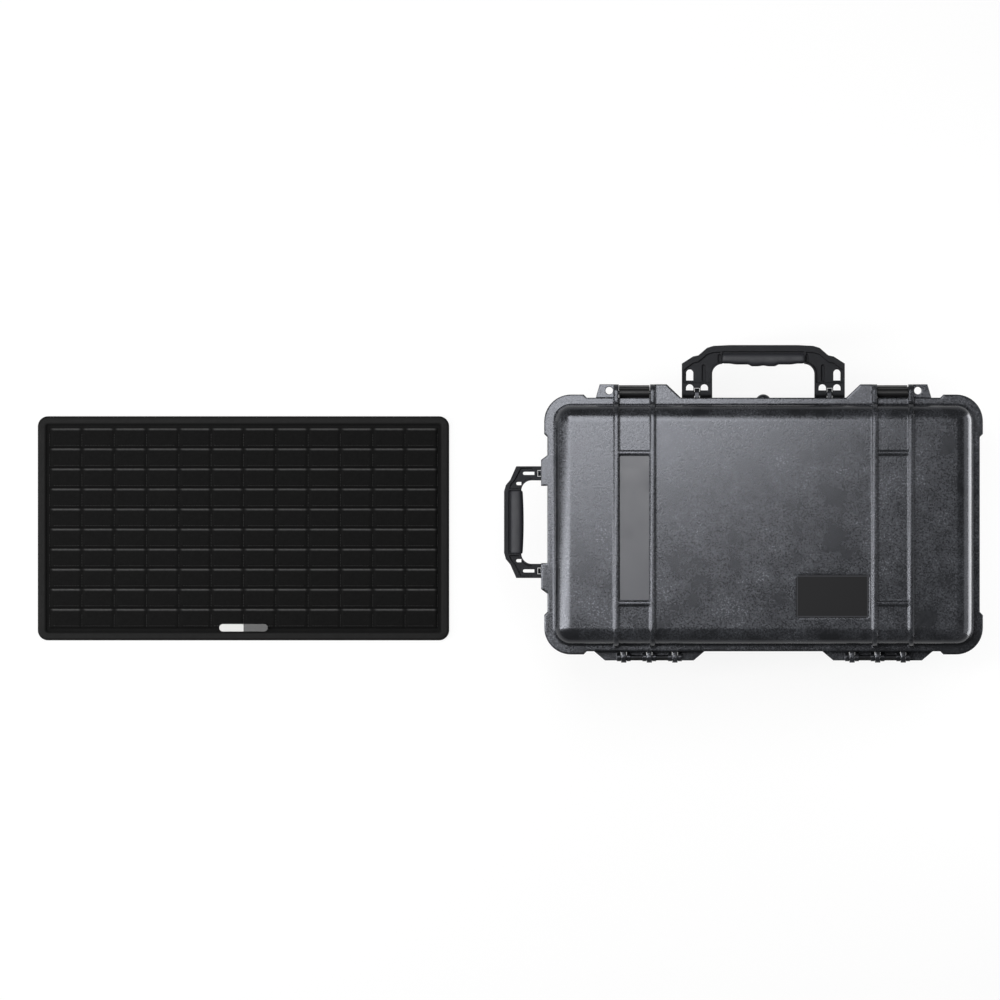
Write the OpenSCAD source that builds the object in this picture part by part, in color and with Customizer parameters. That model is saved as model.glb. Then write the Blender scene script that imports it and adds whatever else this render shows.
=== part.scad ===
// Wheeled hard equipment case with its lid insert: a framed board with a grid of sewn webbing.
// The case lies on its base with the lid up, and the insert lies flat beside it.
// Millimetres. X runs along the case, +Y is its front (latches and handle), Z is up.

/* [Case shell] */
// Length of the moulded walls at the parting plane
shell_w = 533; // [500:1:560]
// Width of the moulded walls at the parting plane
shell_d = 306; // [290:1:330]
// Height of the closed case over feet and lid ribs
case_h = 229; // [215:1:245]
// Height of the lid above the parting plane, ribs left out
lid_h = 48; // [42:1:56]
// Plan radius of the corners at the parting plane
corner_r = 22; // [21:0.5:26]
// Radius of the lid's upper edge
lid_edge_r = 19; // [14:0.5:19.5]
// Radius of the base's lower edge
base_edge_r = 12; // [8:0.5:13]
// How far the lid's walls lean in, from the flange to the upper edge
lid_lean = 1.7; // [0.5:0.1:2.5]
// How far the base's walls lean in, from the flange to the lower edge
base_lean = 5.7; // [3:0.1:6.5]
// Wall of the lid
lid_wall = 3.6; // [3.2:0.1:4.5]
// Wall of the base
base_wall = 4; // [3.2:0.1:5]
// Gap between the lid's flange and the base's flange
parting_gap = 0.3; // [0.2:0.05:0.5]

/* [Flange and corner guards] */
// How far the flange stands out from the walls
flange_out = 8; // [7:0.25:10]
// Height of each flange
flange_h = 12; // [10:0.5:15]
// How far the corner guards stand out from the flange
guard_out = 4; // [2:0.25:5]
// Straight run of a corner guard past the corner's arc
guard_run = 16; // [8:1:24]
// Sloped end of a corner guard
guard_slope = 4; // [2:0.5:8]
// How far the side bosses stand out from the flange
boss_out = 8; // [6:0.5:10]
// Distance between the facing ends of the two side bosses
boss_gap = 98; // [90:1:110]
// Length of a side boss along the flange
boss_len = 39; // [30:1:50]
// Sloped end of a side boss
boss_slope = 6; // [3:0.5:10]

/* [Lid ribs and plates] */
// Height of the lid ribs
rib_h = 3; // [2.2:0.1:3.6]
// Width of the lid ribs
rib_w = 6; // [4:0.25:7]
// Distance of the front cross ribs from the middle
cross_rib_front = 91; // [80:1:100]
// Distance of the back cross ribs from the middle
cross_rib_back = 100; // [80:1:105]
// Clear margin between a plate on the lid and the ribs round it
plate_margin = 1.5; // [0.5:0.25:3]
// Thickness of the plain plate between the left ribs
plate_t = 1; // [0.6:0.1:1.6]
// Length of the bare label
label_w = 92; // [70:1:100]
// Width of the bare label
label_d = 54; // [40:1:60]
// Thickness of the label
label_t = 0.6; // [0.4:0.1:1]
// Gap between the label and the rib beside it
label_gap = 5; // [2:0.5:12]
// Place of the label's middle along Y
label_y = -91; // [-95:1:-60]
// Cross-section diameter of the lid seal
seal_d = 4.4; // [3.6:0.1:5]
// Clearance of the seal in its groove, each side
seal_clear = 0.1; // [0.05:0.05:0.3]

/* [Hinges] */
// Distance of each hinge's middle from the end wall
hinge_inset = 121.5; // [116:0.5:136]
// Spacing of the lid's knuckles in a hinge
knuckle_pitch = 32.5; // [28:0.5:36]
// Outer radius of a lid knuckle
knuckle_r = 7; // [6:0.25:8]
// Width of a lid knuckle
knuckle_w = 6.6; // [5:0.2:9]
// Outer radius of a base lug
lug_r = 5.2; // [4.4:0.1:5.8]
// Width of a base lug
lug_w = 5; // [4:0.25:7]
// Hinge pin diameter
hinge_pin_d = 5; // [4:0.25:6]
// Side gap between a lid knuckle and the base lugs
knuckle_gap = 0.4; // [0.3:0.05:0.8]
// Height of the shelf that carries the base lugs
shelf_h = 8; // [6:0.5:10]

/* [Latches] */
// Distance of each latch's middle from the end wall
latch_inset = 102.5; // [98:0.5:112]
// Width of a latch lever
latch_w = 39; // [32:0.5:44]
// Length of a latch lever below its pin
latch_len = 64; // [56:1:72]
// Thickness of the walls on both sides of a latch
ear_wall = 6; // [4:0.25:8]
// Gap between a latch and those walls, each side
latch_gap = 0.5; // [0.3:0.05:1]
// How far the latch ears stand out from the flange
ear_out = 17; // [15:0.5:20]
// Latch pin diameter
latch_pin_d = 5; // [4:0.25:6]
// Padlock hole diameter
padlock_d = 9.5; // [7:0.25:10]

/* [Front handle] */
// Outer width of the front handle
front_w = 207; // [190:1:220]
// Reach of the front handle from its pin
front_reach = 62; // [56:1:70]
// Width of a leg of the front handle
front_leg = 38.5; // [34:0.5:42]
// Depth of the front handle's grip
front_bar = 24; // [22:0.5:28]
// Depth of the lip along the front handle's tip
front_lip = 8.5; // [6:0.5:10]

/* [Side handle] */
// Outer width of the side handle
side_w = 142; // [130:1:155]
// Reach of the side handle from its pin
side_reach = 50; // [46:1:60]
// Width of a leg of the side handle
side_leg = 18; // [16:0.5:22]
// Depth of the side handle's grip
side_bar = 22; // [20:0.5:24]
// Depth of the lip along the side handle's tip
side_lip = 6; // [4:0.5:8]
// Offset of the side handle from the middle of the end wall
side_off = 3; // [0:0.5:6]

/* [Both handles] */
// Distance of a handle's pin from the wall
handle_pin_out = 13; // [12.5:0.25:15]
// Distance of a handle's pin below the parting plane
handle_pin_drop = 26; // [24:0.5:32]
// Thickness of a handle's frame
handle_t = 16; // [12:0.5:18]
// Thickness of a handle's grip
grip_t = 20; // [17:0.5:22]
// How far a grip hangs in past the frame's opening
grip_drop = 3; // [2:0.25:4]
// Thickness of the soft cover round a grip's core
cover_t = 4; // [3:0.25:5]
// Diameter of the handle pins
handle_pin_d = 5; // [4:0.25:6]
// Gap between a handle's leg and the lug in it, each side
handle_gap = 0.5; // [0.3:0.05:1]

/* [Wheels] */
// Wheel diameter
wheel_d = 58; // [50:1:60]
// Tyre width
tyre_w = 24; // [18:0.5:26]
// Hub diameter, which is the tyre's seat
hub_d = 36; // [30:1:40]
// Axle diameter
axle_d = 6; // [5:0.25:8]
// Distance of the axle from the end wall's foot
axle_in = 20; // [18:0.5:26]
// Ground clearance of a wheel while the case lies flat
wheel_lift = 3; // [2:0.25:5]
// Width of a wheel well
well_w = 32; // [30:0.5:36]
// Distance of a wheel well's middle from the side wall
well_inset = 27; // [26:0.5:33]
// Clearance over a wheel in its well
well_clear = 6; // [4:0.5:8]

/* [Pull handle] */
// Tube diameter
tube_d = 13; // [11:0.5:14]
// Distance of each tube from the middle
tube_y = 70; // [60:1:75]
// Tube length
tube_len = 440; // [420:1:445]
// Width of the pull grip
pull_w = 184; // [170:1:190]
// Depth and height of the pull grip
pull_t = 22; // [20:0.5:24]
// Clearance of the pull grip over the panel's rim as it slides out
pull_pass = 1.5; // [1:0.1:4]
// Running clearance of a tube in its guide
tube_clear = 0.3; // [0.2:0.05:0.5]
// Length of a tube guide and of a tube's end block
guide_len = 20; // [14:1:26]
// Thickness of the cover strip under a tube
strip_t = 2; // [1.5:0.1:2.4]

/* [Valve] */
// Diameter of the pressure valve's cap
valve_d = 16; // [13:0.5:20]
// How far the valve stands out past the flange
valve_out = 4.5; // [2:0.25:6]

/* [Feet] */
// Height of the feet
foot_h = 3; // [2:0.25:4]
// Length of a foot
foot_w = 50; // [40:1:60]
// Width of a foot
foot_d = 16; // [12:1:18]

/* [Grid panel] */
// Length of the panel
panel_w = 525; // [480:1:525]
// Width of the panel
panel_d = 286; // [260:1:296]
// Height of the panel's rim
rim_h = 9; // [7:0.5:12]
// Width of the panel's rim
rim_w = 11; // [9:0.5:12.5]
// Outer corner radius of the rim
rim_r = 13; // [12:0.5:18]
// Thickness of the board
board_t = 3; // [2:0.25:4]
// Columns of tiles
columns = 12; // [6:1:14]
// Rows of tiles
rows = 10; // [5:1:10]
// Margin between the rim and the tiles
grid_margin = 4; // [2:0.5:6]
// Thickness of a webbing row
row_t = 3.4; // [2.4:0.1:4]
// Length of the bare badge
badge_w = 62; // [40:1:70]
// Width of the bare badge
badge_d = 9.5; // [7:0.5:12]
// Thickness of the badge
badge_t = 0.9; // [0.5:0.1:1.4]
// Gap between the panel and the side handle
kit_gap = 70; // [20:1:120]
// Offset of the panel along Y from the case's middle
panel_off = -5; // [-20:1:20]

/* [Hidden] */
$fn = 64;
// Overshoot of a cut past the face that it opens
cut = 1;

// Levels and plan of the case, with its plan middle at the origin
z_part = case_h - rib_h - lid_h;
lid_z = z_part + parting_gap;
lid_rise = lid_h - parting_gap;
base_h = z_part - foot_h;
wall_x = shell_w / 2;
wall_y = shell_d / 2;
corner_x = wall_x - corner_r;
corner_y = wall_y - corner_r;
flange_x = wall_x + flange_out;
flange_y = wall_y + flange_out;
guard_r = corner_r + flange_out + guard_out;
ear_y = flange_y + ear_out;
latch_x = wall_x - latch_inset;
hinge_x = wall_x - hinge_inset;
well_y = wall_y - well_inset;

// Hinge axis, clear of both flanges
hinge_clear = 0.5;
hinge_y = -(flange_y + knuckle_r + hinge_clear);
hinge_z = z_part + parting_gap / 2;
shelf_top = hinge_z - knuckle_r - hinge_clear;
hinge_pin_half = knuckle_pitch + knuckle_w / 2 + knuckle_gap + lug_w;
run_clear = 0.05;
shelf_run = 29;
shelf_run_out = 15;
shelf_in = 1;
shelf_y = hinge_y - lug_r + shelf_in;
shelf_rim = 2;
lug_root = 2;
window_edge = 1;

// Lid trim: seal line, cross ribs and label recess
seal_off = corner_r + flange_out / 4;
cross_rib_low = 0.5;
cross_rib_thin = 1;
cross_rib_h = rib_h - cross_rib_low;
cross_rib_w = rib_w - cross_rib_thin;
label_clear = 0.3;
label_r = 4;
plate_r = 2;

// Latch pin, clear of the lid's flange
barrel_wall = 3.3;
barrel_r = latch_pin_d / 2 + barrel_wall;
barrel_clear = 0.7;
latch_pin_y = flange_y + barrel_r + barrel_clear;
latch_pin_z = lid_z + flange_h + barrel_clear;
latch_face_in = 3.4;
latch_face_y = ear_y - latch_face_in;
latch_web = 4.5;
latch_cheek = 4;
ear_in = latch_w / 2 + latch_gap;
ear_side = ear_in + ear_wall;
rib_off = ear_in + ear_wall / 2;
label_x = latch_x - rib_off - rib_w / 2 - label_gap - label_w / 2;
padlock_web = 1.2;
padlock_off = ear_side + padlock_d / 2 + padlock_web;
padlock_y = flange_y + (ear_out + padlock_web) / 2;
ear_run = 18;
ear_step = 3;
padlock_slope = 5;
ear_rise = 4;
toe_out = 3;
toe_rise = 10;

// Latch lever: finger lip at its tip, catch nose under the flange and cheeks at its sides
lip_len = 14;
lip_out = 2.6;
lip_t = 3.6;
nose_clear = 0.9;
nose_drop = 0.6;
nose_h = 5;
nose_slope = 5;
cheek_top = 3;
cheek_neck = 12;
cheek_in = 0.6;
cheek_foot = 2;

// Handle pins
front_pin_y = wall_y + handle_pin_out;
side_pin_x = -(wall_x + handle_pin_out);
handle_pin_z = z_part - handle_pin_drop;
front_lug = 6;
side_lug = 7;
lug_eye = 4.5;
lug_eye_r = handle_pin_d / 2 + lug_eye;
pin_recess = 1;
lug_space = 0.4;
handle_inner_r = 13;
core_root = 3;
web_in = 2.5;
web_rim = 2.5;
web_start = 14;
groove_in = 6;
grip_r = grip_t * 0.4;
finger_r = 16;
finger_pitch = 25;
finger_depth = 1.8;

// Shoulders of the two handles, as [in from the side, down from the tip]
front_shoulder = [[0, 23.5], [14, 14.5], [21, 13], [32, 3.5], [40, 1], [60, 0]];
side_shoulder = [[0, 15.5], [17, 8], [24, 2.2], [32, 0]];

// Windows in a handle's leg, as [outwards from its middle, start, end, width]
front_windows = [[-9.25, 4.5, 12.2, 9.5], [9.25, 4.5, 12.2, 9.5], [9.25, 17, 31, 9]];
side_windows = [[0, 11.5, 26, 4], [-13, 28, 34.5, 4]];

// Blind grooves in both faces of a handle's leg, written as the windows are
front_grooves = [[-8.5, 16, 37, 4], [-28.75, 40.5, 50, 4]];
side_grooves = [];

// Wheels and their wells
foot_x = wall_x - base_lean;
axle_x = foot_x - axle_in;
axle_z = wheel_lift + wheel_d / 2;
well_r = wheel_d / 2 + well_clear;
boss_clear = 0.5;
boss_len_w = well_w - 2 * boss_clear;
axle_y0 = well_y - well_w / 2 - base_wall;
axle_cover = 1;
axle_y1 = wall_y - base_lean * (z_part - axle_z) / (base_h - base_edge_r) - axle_cover;
bush_t = 2;
hub_boss_t = 3;
hub_web = 8;
hub_rim = 3;
hub_inset = 1;
hub_spoke = 1;
tread_w = 1.6;
tread_depth = 1.2;

// Pull handle under the floor
pull_inset = 2.5;
pull_face_x = -(wall_x - pull_inset);
pull_seat = 12;
recess_clear = 6;
recess_x = pull_face_x + pull_t + recess_clear;
chan_room = 2.5;
chan_half = tube_d / 2 + chan_room;
tube_z = rim_h + pull_pass + pull_t / 2;
chan_z0 = foot_h + strip_t;
chan_z1 = tube_z + chan_half;
tube_x0 = pull_face_x + pull_t - pull_seat;
tube_x1 = tube_x0 + tube_len;
chan_x1 = tube_x1 + recess_clear;
strip_half = chan_half + base_wall;
strip_x1 = chan_x1 + base_wall;
screw_d = 2.4;
screw_end = 12;
screw_len = 9;
screw_head_t = 1.4;
tube_wall = 1.2;

// Valve in the front wall, under the flange
valve_seat = 1.5;
valve_seat_y = wall_y + valve_seat;
valve_in = 7;
valve_in_y = wall_y - valve_in;
valve_tip_y = flange_y + valve_out;
stem_d = valve_d * 0.6;
valve_nut_t = 4;
valve_edge = 3;

// Grid of the panel
panel_in_w = panel_w - 2 * rim_w;
panel_in_d = panel_d - 2 * rim_w;
col_pitch = (panel_in_w - 2 * grid_margin) / columns;
row_pitch = (panel_in_d - 2 * grid_margin) / rows;
board_z = 1;
row_z = board_z + board_t;
row_gap = 0.6;
row_edge = 0.9;
bevel_top = 3.2;
bevel_side = 1.6;
rim_edge = 3.5;
badge_edge = 0.3;
badge_r = badge_d * 0.499;

// The kit stands on the middle of its own bounding box
kit_right = flange_x + guard_out;
panel_right = side_pin_x - side_reach - kit_gap;
case_x = (panel_w - panel_right - kit_right) / 2;
case_y = -(front_pin_y + front_reach + hinge_y - knuckle_r) / 2;
panel_x = case_x + panel_right - panel_w / 2;
panel_y = case_y + panel_off;

black = "#2c2e30";
soft_black = "#1f2021";
steel = "#b9bcc0";
grey = "#55585b";

// Shared shapes

// Places children in the kit from the case's own frame.
module in_case() {
    translate([case_x, case_y, 0]) children();
}

// Places children in the kit from the panel's own frame.
module in_panel() {
    translate([panel_x, panel_y, 0]) children();
}

// Draws children on both sides of the plane X = 0.
module both_x() {
    children();
    mirror([1, 0, 0]) children();
}

// Draws children on both sides of the plane Y = 0.
module both_y() {
    children();
    mirror([0, 1, 0]) children();
}

// A rectangle with round corners, centred.
module rounded_rect(w, d, r) {
    difference() {
        square([w, d], center = true);
        both_x() both_y() translate([w / 2 - r, d / 2 - r]) difference() {
            square(r + cut);
            circle(r);
        }
    }
}

// A slot along Y with a straight foot and a round end.
module arch(width, y0, y1) {
    intersection() {
        translate([-width / 2, y0]) square([width, y1 - y0]);
        union() {
            translate([0, y1 - width / 2]) circle(d = width);
            translate([-width / 2, y0 - width]) square([width, y1 - y0 + width / 2]);
        }
    }
}

// A cylinder along X.
module rod_x(x0, x1, r) {
    translate([x0, 0, 0]) rotate([0, 90, 0]) cylinder(h = x1 - x0, r = r);
}

// A cylinder along Y.
module rod_y(y0, y1, r) {
    translate([0, y1, 0]) rotate([90, 0, 0]) cylinder(h = y1 - y0, r = r);
}

// Extrudes a Y-Z outline along X.
module along_x(x0, x1) {
    translate([x0, 0, 0]) rotate([90, 0, 90]) linear_extrude(x1 - x0) children();
}

// Sweeps an outline, drawn as (distance from the corner line, height), round a rectangle.
module ring_sweep(hx, hy) {
    both_x() both_y() translate([hx, hy, 0]) rotate_extrude(angle = 90) children();
    both_x() translate([hx, hy, 0]) rotate([90, 0, 0]) linear_extrude(2 * hy) children();
    both_y() translate([-hx, hy, 0]) rotate([90, 0, 90]) linear_extrude(2 * hx) children();
}

// Centre of the arc between a leaning wall and the closed face of a moulded shell.
function edge_arc(r0, h, lean, edge) = [r0 - lean - edge, h - edge];

// Half section of a moulded shell: leaning wall, edge arc and closed face at height h.
module shell_section(r0, h, lean, edge, below) {
    c = edge_arc(r0, h, lean, edge);
    polygon([
        [0, -below], [r0 + below * lean / c[1], -below],
        [c[0] + edge, c[1]], c, [c[0], h], [0, h]
    ]);
    translate(c) intersection() {
        circle(edge);
        square(edge);
    }
}

// Solid of a moulded shell, open face on z = 0 and closed face at h.
module shell_solid(r0, h, lean, edge, below) {
    ring_sweep(corner_x, corner_y) shell_section(r0, h, lean, edge, below);
    translate([-corner_x, -corner_y, -below]) cube([2 * corner_x, 2 * corner_y, h + below]);
}

// Plan of a flange with corner guards, side bosses and inner latch ears.
module flange_plan(wall) {
    difference() {
        union() {
            rounded_rect(2 * flange_x, 2 * flange_y, corner_r + flange_out);
            both_x() both_y() guard_plan();
            both_y() side_boss_plan();
            both_x() inner_ear_plan();
        }
        rounded_rect(shell_w - wall, shell_d - wall, corner_r - wall / 2);
    }
}

// Plan of one corner guard.
module guard_plan() {
    translate([corner_x, corner_y]) {
        circle(guard_r);
        for (turn = [0, 1])
            mirror([turn, -turn]) polygon([
                [0, 0], [0, guard_r], [-guard_run, guard_r],
                [-guard_run - guard_slope, guard_r - guard_out], [-guard_run - guard_slope, 0]
            ]);
    }
}

// Plan of the boss on the end flange over a side handle's leg.
module side_boss_plan() {
    polygon([
        [-wall_x, boss_gap / 2], [-flange_x - boss_out, boss_gap / 2],
        [-flange_x - boss_out, boss_gap / 2 + boss_len - boss_slope],
        [-flange_x, boss_gap / 2 + boss_len], [-wall_x, boss_gap / 2 + boss_len]
    ]);
}

// Plan of the ear on the handle's side of a latch.
module inner_ear_plan() {
    translate([latch_x, 0]) polygon([
        [-ear_in, wall_y], [-ear_in, ear_y], [-ear_side - ear_run + ear_step, ear_y],
        [-ear_side - 2 * ear_run + ear_step, flange_y], [-ear_side - 2 * ear_run + ear_step, wall_y]
    ]);
}

// Plan of the ear with the padlock hole, outside a latch.
module padlock_ear_plan() {
    translate([latch_x, 0]) difference() {
        polygon([
            [ear_side, flange_y], [ear_side, ear_y], [ear_side + ear_run, ear_y],
            [ear_side + ear_run + padlock_slope, flange_y]
        ]);
        translate([padlock_off, padlock_y]) circle(d = padlock_d);
    }
}

// Base of the case

// Hollows under the floor: wheel wells, pull-grip recess and tube channels, grown by g.
module under_hollows(g) {
    both_y() translate([axle_x, well_y - well_w / 2 - g, axle_z]) {
        rotate([-90, 0, 0]) cylinder(h = well_w + 2 * g, r = well_r + g);
        translate([0, 0, -axle_z - cut]) cube([wall_x, well_w + 2 * g, axle_z + cut + well_r + g]);
        translate([-well_r - g, 0, -axle_z - cut]) cube([well_r + g, well_w + 2 * g, axle_z + cut]);
    }
    translate([-wall_x - flange_out, -pull_w / 2 - recess_clear - g, -cut])
        cube([recess_x + g + wall_x + flange_out, pull_w + 2 * (recess_clear + g),
              tube_z + pull_t / 2 + recess_clear + g + cut]);
    both_y() translate([recess_x - cut, tube_y - chan_half - g, -cut])
        cube([chan_x1 - recess_x + cut + g, 2 * (chan_half + g), chan_z1 + g + cut]);
}

// The base's walls and floor.
module base_walls() {
    difference() {
        translate([0, 0, z_part]) mirror([0, 0, 1])
            shell_solid(corner_r, base_h, base_lean, base_edge_r, 0);
        under_hollows(0);
        difference() {
            translate([0, 0, z_part]) mirror([0, 0, 1])
                shell_solid(corner_r - base_wall, base_h - base_wall, base_lean,
                            base_edge_r - base_wall, cut);
            under_hollows(base_wall);
        }
    }
}

// Shelf and lugs of one base hinge, with the windows under the lid's knuckles.
module base_hinge() {
    run_in = hinge_pin_half + shelf_run;
    run_out = hinge_pin_half + shelf_run_out;
    difference() {
        translate([hinge_x, 0, shelf_top - shelf_h]) linear_extrude(shelf_h)
            polygon([
                [-run_in, -wall_y + base_wall / 2], [run_in, -wall_y + base_wall / 2],
                [run_in, -flange_y], [run_out, shelf_y], [-run_out, shelf_y], [-run_in, -flange_y]
            ]);
        for (k = [-1 : 1])
            translate([hinge_x + k * knuckle_pitch - knuckle_w / 2 - knuckle_gap, shelf_y + shelf_rim, 0])
                cube([knuckle_w + 2 * knuckle_gap, -flange_y - window_edge - shelf_y - shelf_rim, z_part]);
    }
    for (k = [-1 : 1], s = [-1, 1])
        translate([hinge_x + k * knuckle_pitch + s * (knuckle_w / 2 + knuckle_gap + lug_w / 2), hinge_y, 0]) {
            translate([0, 0, hinge_z]) rod_x(-lug_w / 2, lug_w / 2, lug_r);
            translate([-lug_w / 2, -lug_r, shelf_top - lug_root])
                cube([lug_w, 2 * lug_r, hinge_z - shelf_top + lug_root]);
        }
}

// Walls on both sides of a latch lever, on the base.
module base_latch_walls() {
    y0 = wall_y - base_wall / 2;
    y1 = y0 - base_lean * latch_len / (base_h - base_edge_r);
    for (s = [-1, 1])
        translate([latch_x + s * rib_off, 0, 0]) along_x(-ear_wall / 2, ear_wall / 2)
            polygon([
                [y0, z_part], [ear_y, z_part], [ear_y, z_part - flange_h],
                [flange_y + toe_out, z_part - latch_len + toe_rise], [y1, z_part - latch_len]
            ]);
}

// Lugs that carry a folding handle, in the handle's own frame.
module handle_lugs(w, leg, lug) {
    both_x() translate([w / 2 - leg / 2, 0, 0]) {
        rod_x(-lug / 2, lug / 2, lug_eye_r);
        translate([-lug / 2, -handle_pin_out - base_wall / 2, -lug_eye_r])
            cube([lug, handle_pin_out + base_wall / 2, 2 * lug_eye_r]);
    }
}

// Pin holes or pins of a folding handle, in the handle's own frame.
module handle_pin_rods(w, leg, length, r) {
    both_x() translate([w / 2 - leg / 2, 0, 0]) rod_x(-length / 2, length / 2, r);
}

// Puts the front handle's frame in place: its pin axis is local X and it reaches along local +Y.
module at_front_handle() {
    translate([0, front_pin_y, handle_pin_z]) children();
}

// Puts the side handle's frame in place on the left end.
module at_side_handle() {
    translate([side_pin_x, side_off, handle_pin_z]) rotate([0, 0, 90]) children();
}

// Feet under the floor, clear of channels and wells.
module feet() {
    both_x() both_y()
        translate([latch_x - foot_w / 2, well_y - well_w / 2 - foot_d / 2, 0])
            cube([foot_w, foot_d, foot_h + base_wall / 2]);
}

// Places of the screws in the strips under the tubes.
module at_strip_screws() {
    both_y() for (x = [recess_x + screw_end, (recess_x + strip_x1) / 2, strip_x1 - screw_end], s = [-1, 1])
        translate([x, tube_y + s * (chan_half + base_wall / 2), foot_h]) children();
}

module base_shell() {
    color(black) in_case() difference() {
        union() {
            base_walls();
            translate([0, 0, z_part - flange_h]) linear_extrude(flange_h) flange_plan(base_wall);
            both_x() base_hinge();
            both_x() base_latch_walls();
            at_front_handle() handle_lugs(front_w, front_leg, front_lug);
            at_side_handle() handle_lugs(side_w, side_leg, side_lug);
            translate([0, 0, handle_pin_z]) rod_y(valve_in_y, valve_seat_y, valve_d / 2 + valve_edge);
            feet();
        }
        both_x() translate([0, hinge_y, hinge_z]) rod_x(hinge_x - hinge_pin_half, hinge_x + hinge_pin_half,
                                                       hinge_pin_d / 2);
        at_front_handle() handle_pin_rods(front_w, front_leg, front_leg, handle_pin_d / 2);
        at_side_handle() handle_pin_rods(side_w, side_leg, side_leg, handle_pin_d / 2);
        translate([0, 0, handle_pin_z]) rod_y(valve_in_y - cut, valve_seat_y + cut, stem_d / 2);
        both_y() translate([axle_x, 0, axle_z]) rod_y(axle_y0, axle_y1, axle_d / 2);
        both_y() translate([recess_x - cut, tube_y - strip_half, foot_h - cut])
            cube([strip_x1 - recess_x + cut, 2 * strip_half, strip_t + cut]);
        at_strip_screws() cylinder(h = screw_len, d = screw_d);
    }
}

module base_padlock_ears() {
    color(black) in_case() translate([0, 0, z_part - flange_h])
        linear_extrude(flange_h) both_x() padlock_ear_plan();
}

// One steel hinge pin, on the side given by s.
module hinge_pin(s) {
    color(steel) in_case() translate([s * hinge_x, hinge_y, hinge_z])
        rod_x(-hinge_pin_half, hinge_pin_half, hinge_pin_d / 2);
}

module valve_body() {
    cap_r = valve_d / 2;
    color(black) in_case() translate([0, 0, handle_pin_z]) {
        rod_y(valve_seat_y, valve_tip_y - cap_r / 2, cap_r);
        rod_y(valve_in_y - valve_nut_t, valve_seat_y, stem_d / 2);
        translate([0, valve_tip_y - cap_r / 2, 0]) rotate([-90, 0, 0]) rotate_extrude()
            intersection() {
                translate([0, -cap_r * 0.75]) circle(cap_r * 1.25);
                square([cap_r, cap_r / 2]);
            }
    }
}

module valve_nut() {
    color(grey) in_case() translate([0, valve_in_y, handle_pin_z]) rotate([90, 0, 0]) difference() {
        cylinder(h = valve_nut_t, d = valve_d + valve_edge, $fn = 6);
        translate([0, 0, -cut]) cylinder(h = valve_nut_t + 2 * cut, d = stem_d);
    }
}

module front_handle_pins() {
    color(steel) in_case() at_front_handle()
        handle_pin_rods(front_w, front_leg, front_leg - 2 * pin_recess, handle_pin_d / 2);
}

module side_handle_pins() {
    color(steel) in_case() at_side_handle()
        handle_pin_rods(side_w, side_leg, side_leg - 2 * pin_recess, handle_pin_d / 2);
}

module tube_guides() {
    color(grey) in_case() both_y() difference() {
        translate([recess_x, tube_y - chan_half, chan_z0])
            cube([guide_len, 2 * chan_half, chan_z1 - chan_z0]);
        translate([0, tube_y, tube_z])
            rod_x(recess_x - cut, recess_x + guide_len + cut, tube_d / 2 + tube_clear);
    }
}

module rail_strips() {
    color(black) in_case() difference() {
        both_y() translate([recess_x, tube_y - strip_half, foot_h])
            cube([strip_x1 - recess_x, 2 * strip_half, strip_t]);
        at_strip_screws() translate([0, 0, -cut]) cylinder(h = strip_t + 2 * cut, d = screw_d);
    }
}

module rail_screws() {
    color(steel) in_case() at_strip_screws() {
        cylinder(h = screw_len, d = screw_d);
        translate([0, 0, -screw_head_t]) cylinder(h = screw_head_t, d = 2 * screw_d);
    }
}

module wheel_axles() {
    color(steel) in_case() both_y() translate([axle_x, 0, axle_z]) rod_y(axle_y0, axle_y1, axle_d / 2);
}

// Lid of the case

// Cross-section of the lid in the Y-Z plane, grown by g.
module lid_section(g) {
    both_x() translate([corner_y, 0])
        shell_section(corner_r + g, lid_rise + g, lid_lean, lid_edge_r + g, 0);
    translate([-corner_y, 0]) square([2 * corner_y, lid_rise + g]);
}

// One rib over the lid, from the front flange to the back flange.
module lid_rib(x) {
    translate([x, 0, lid_z]) along_x(-rib_w / 2, rib_w / 2) difference() {
        lid_section(rib_h);
        translate([0, -cut]) lid_section(-lid_wall / 2);
    }
}

// Walls on both sides of a latch lever, on the lid, with round tops over the latch pin.
module lid_latch_walls() {
    eye = ear_y - latch_pin_y;
    top_z = latch_pin_z + eye + ear_rise;
    y0 = wall_y - lid_wall / 2;
    y1 = y0 - lid_lean * (top_z - lid_z) / (lid_rise - lid_edge_r);
    for (s = [-1, 1])
        translate([latch_x + s * rib_off, 0, 0]) along_x(-ear_wall / 2, ear_wall / 2) {
            polygon([
                [y0, lid_z], [ear_y, lid_z], [ear_y, latch_pin_z], [latch_pin_y, latch_pin_z],
                [latch_pin_y, latch_pin_z + eye], [y1, top_z]
            ]);
            translate([latch_pin_y, latch_pin_z]) circle(eye);
        }
}

// One lid hinge: three knuckles on short arms.
module lid_hinge() {
    for (k = [-1 : 1])
        translate([hinge_x + k * knuckle_pitch, hinge_y, hinge_z]) {
            rod_x(-knuckle_w / 2, knuckle_w / 2, knuckle_r);
            translate([-knuckle_w / 2, 0, lid_z - hinge_z])
                cube([knuckle_w, -wall_y - hinge_y, knuckle_r - parting_gap]);
        }
}

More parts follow.
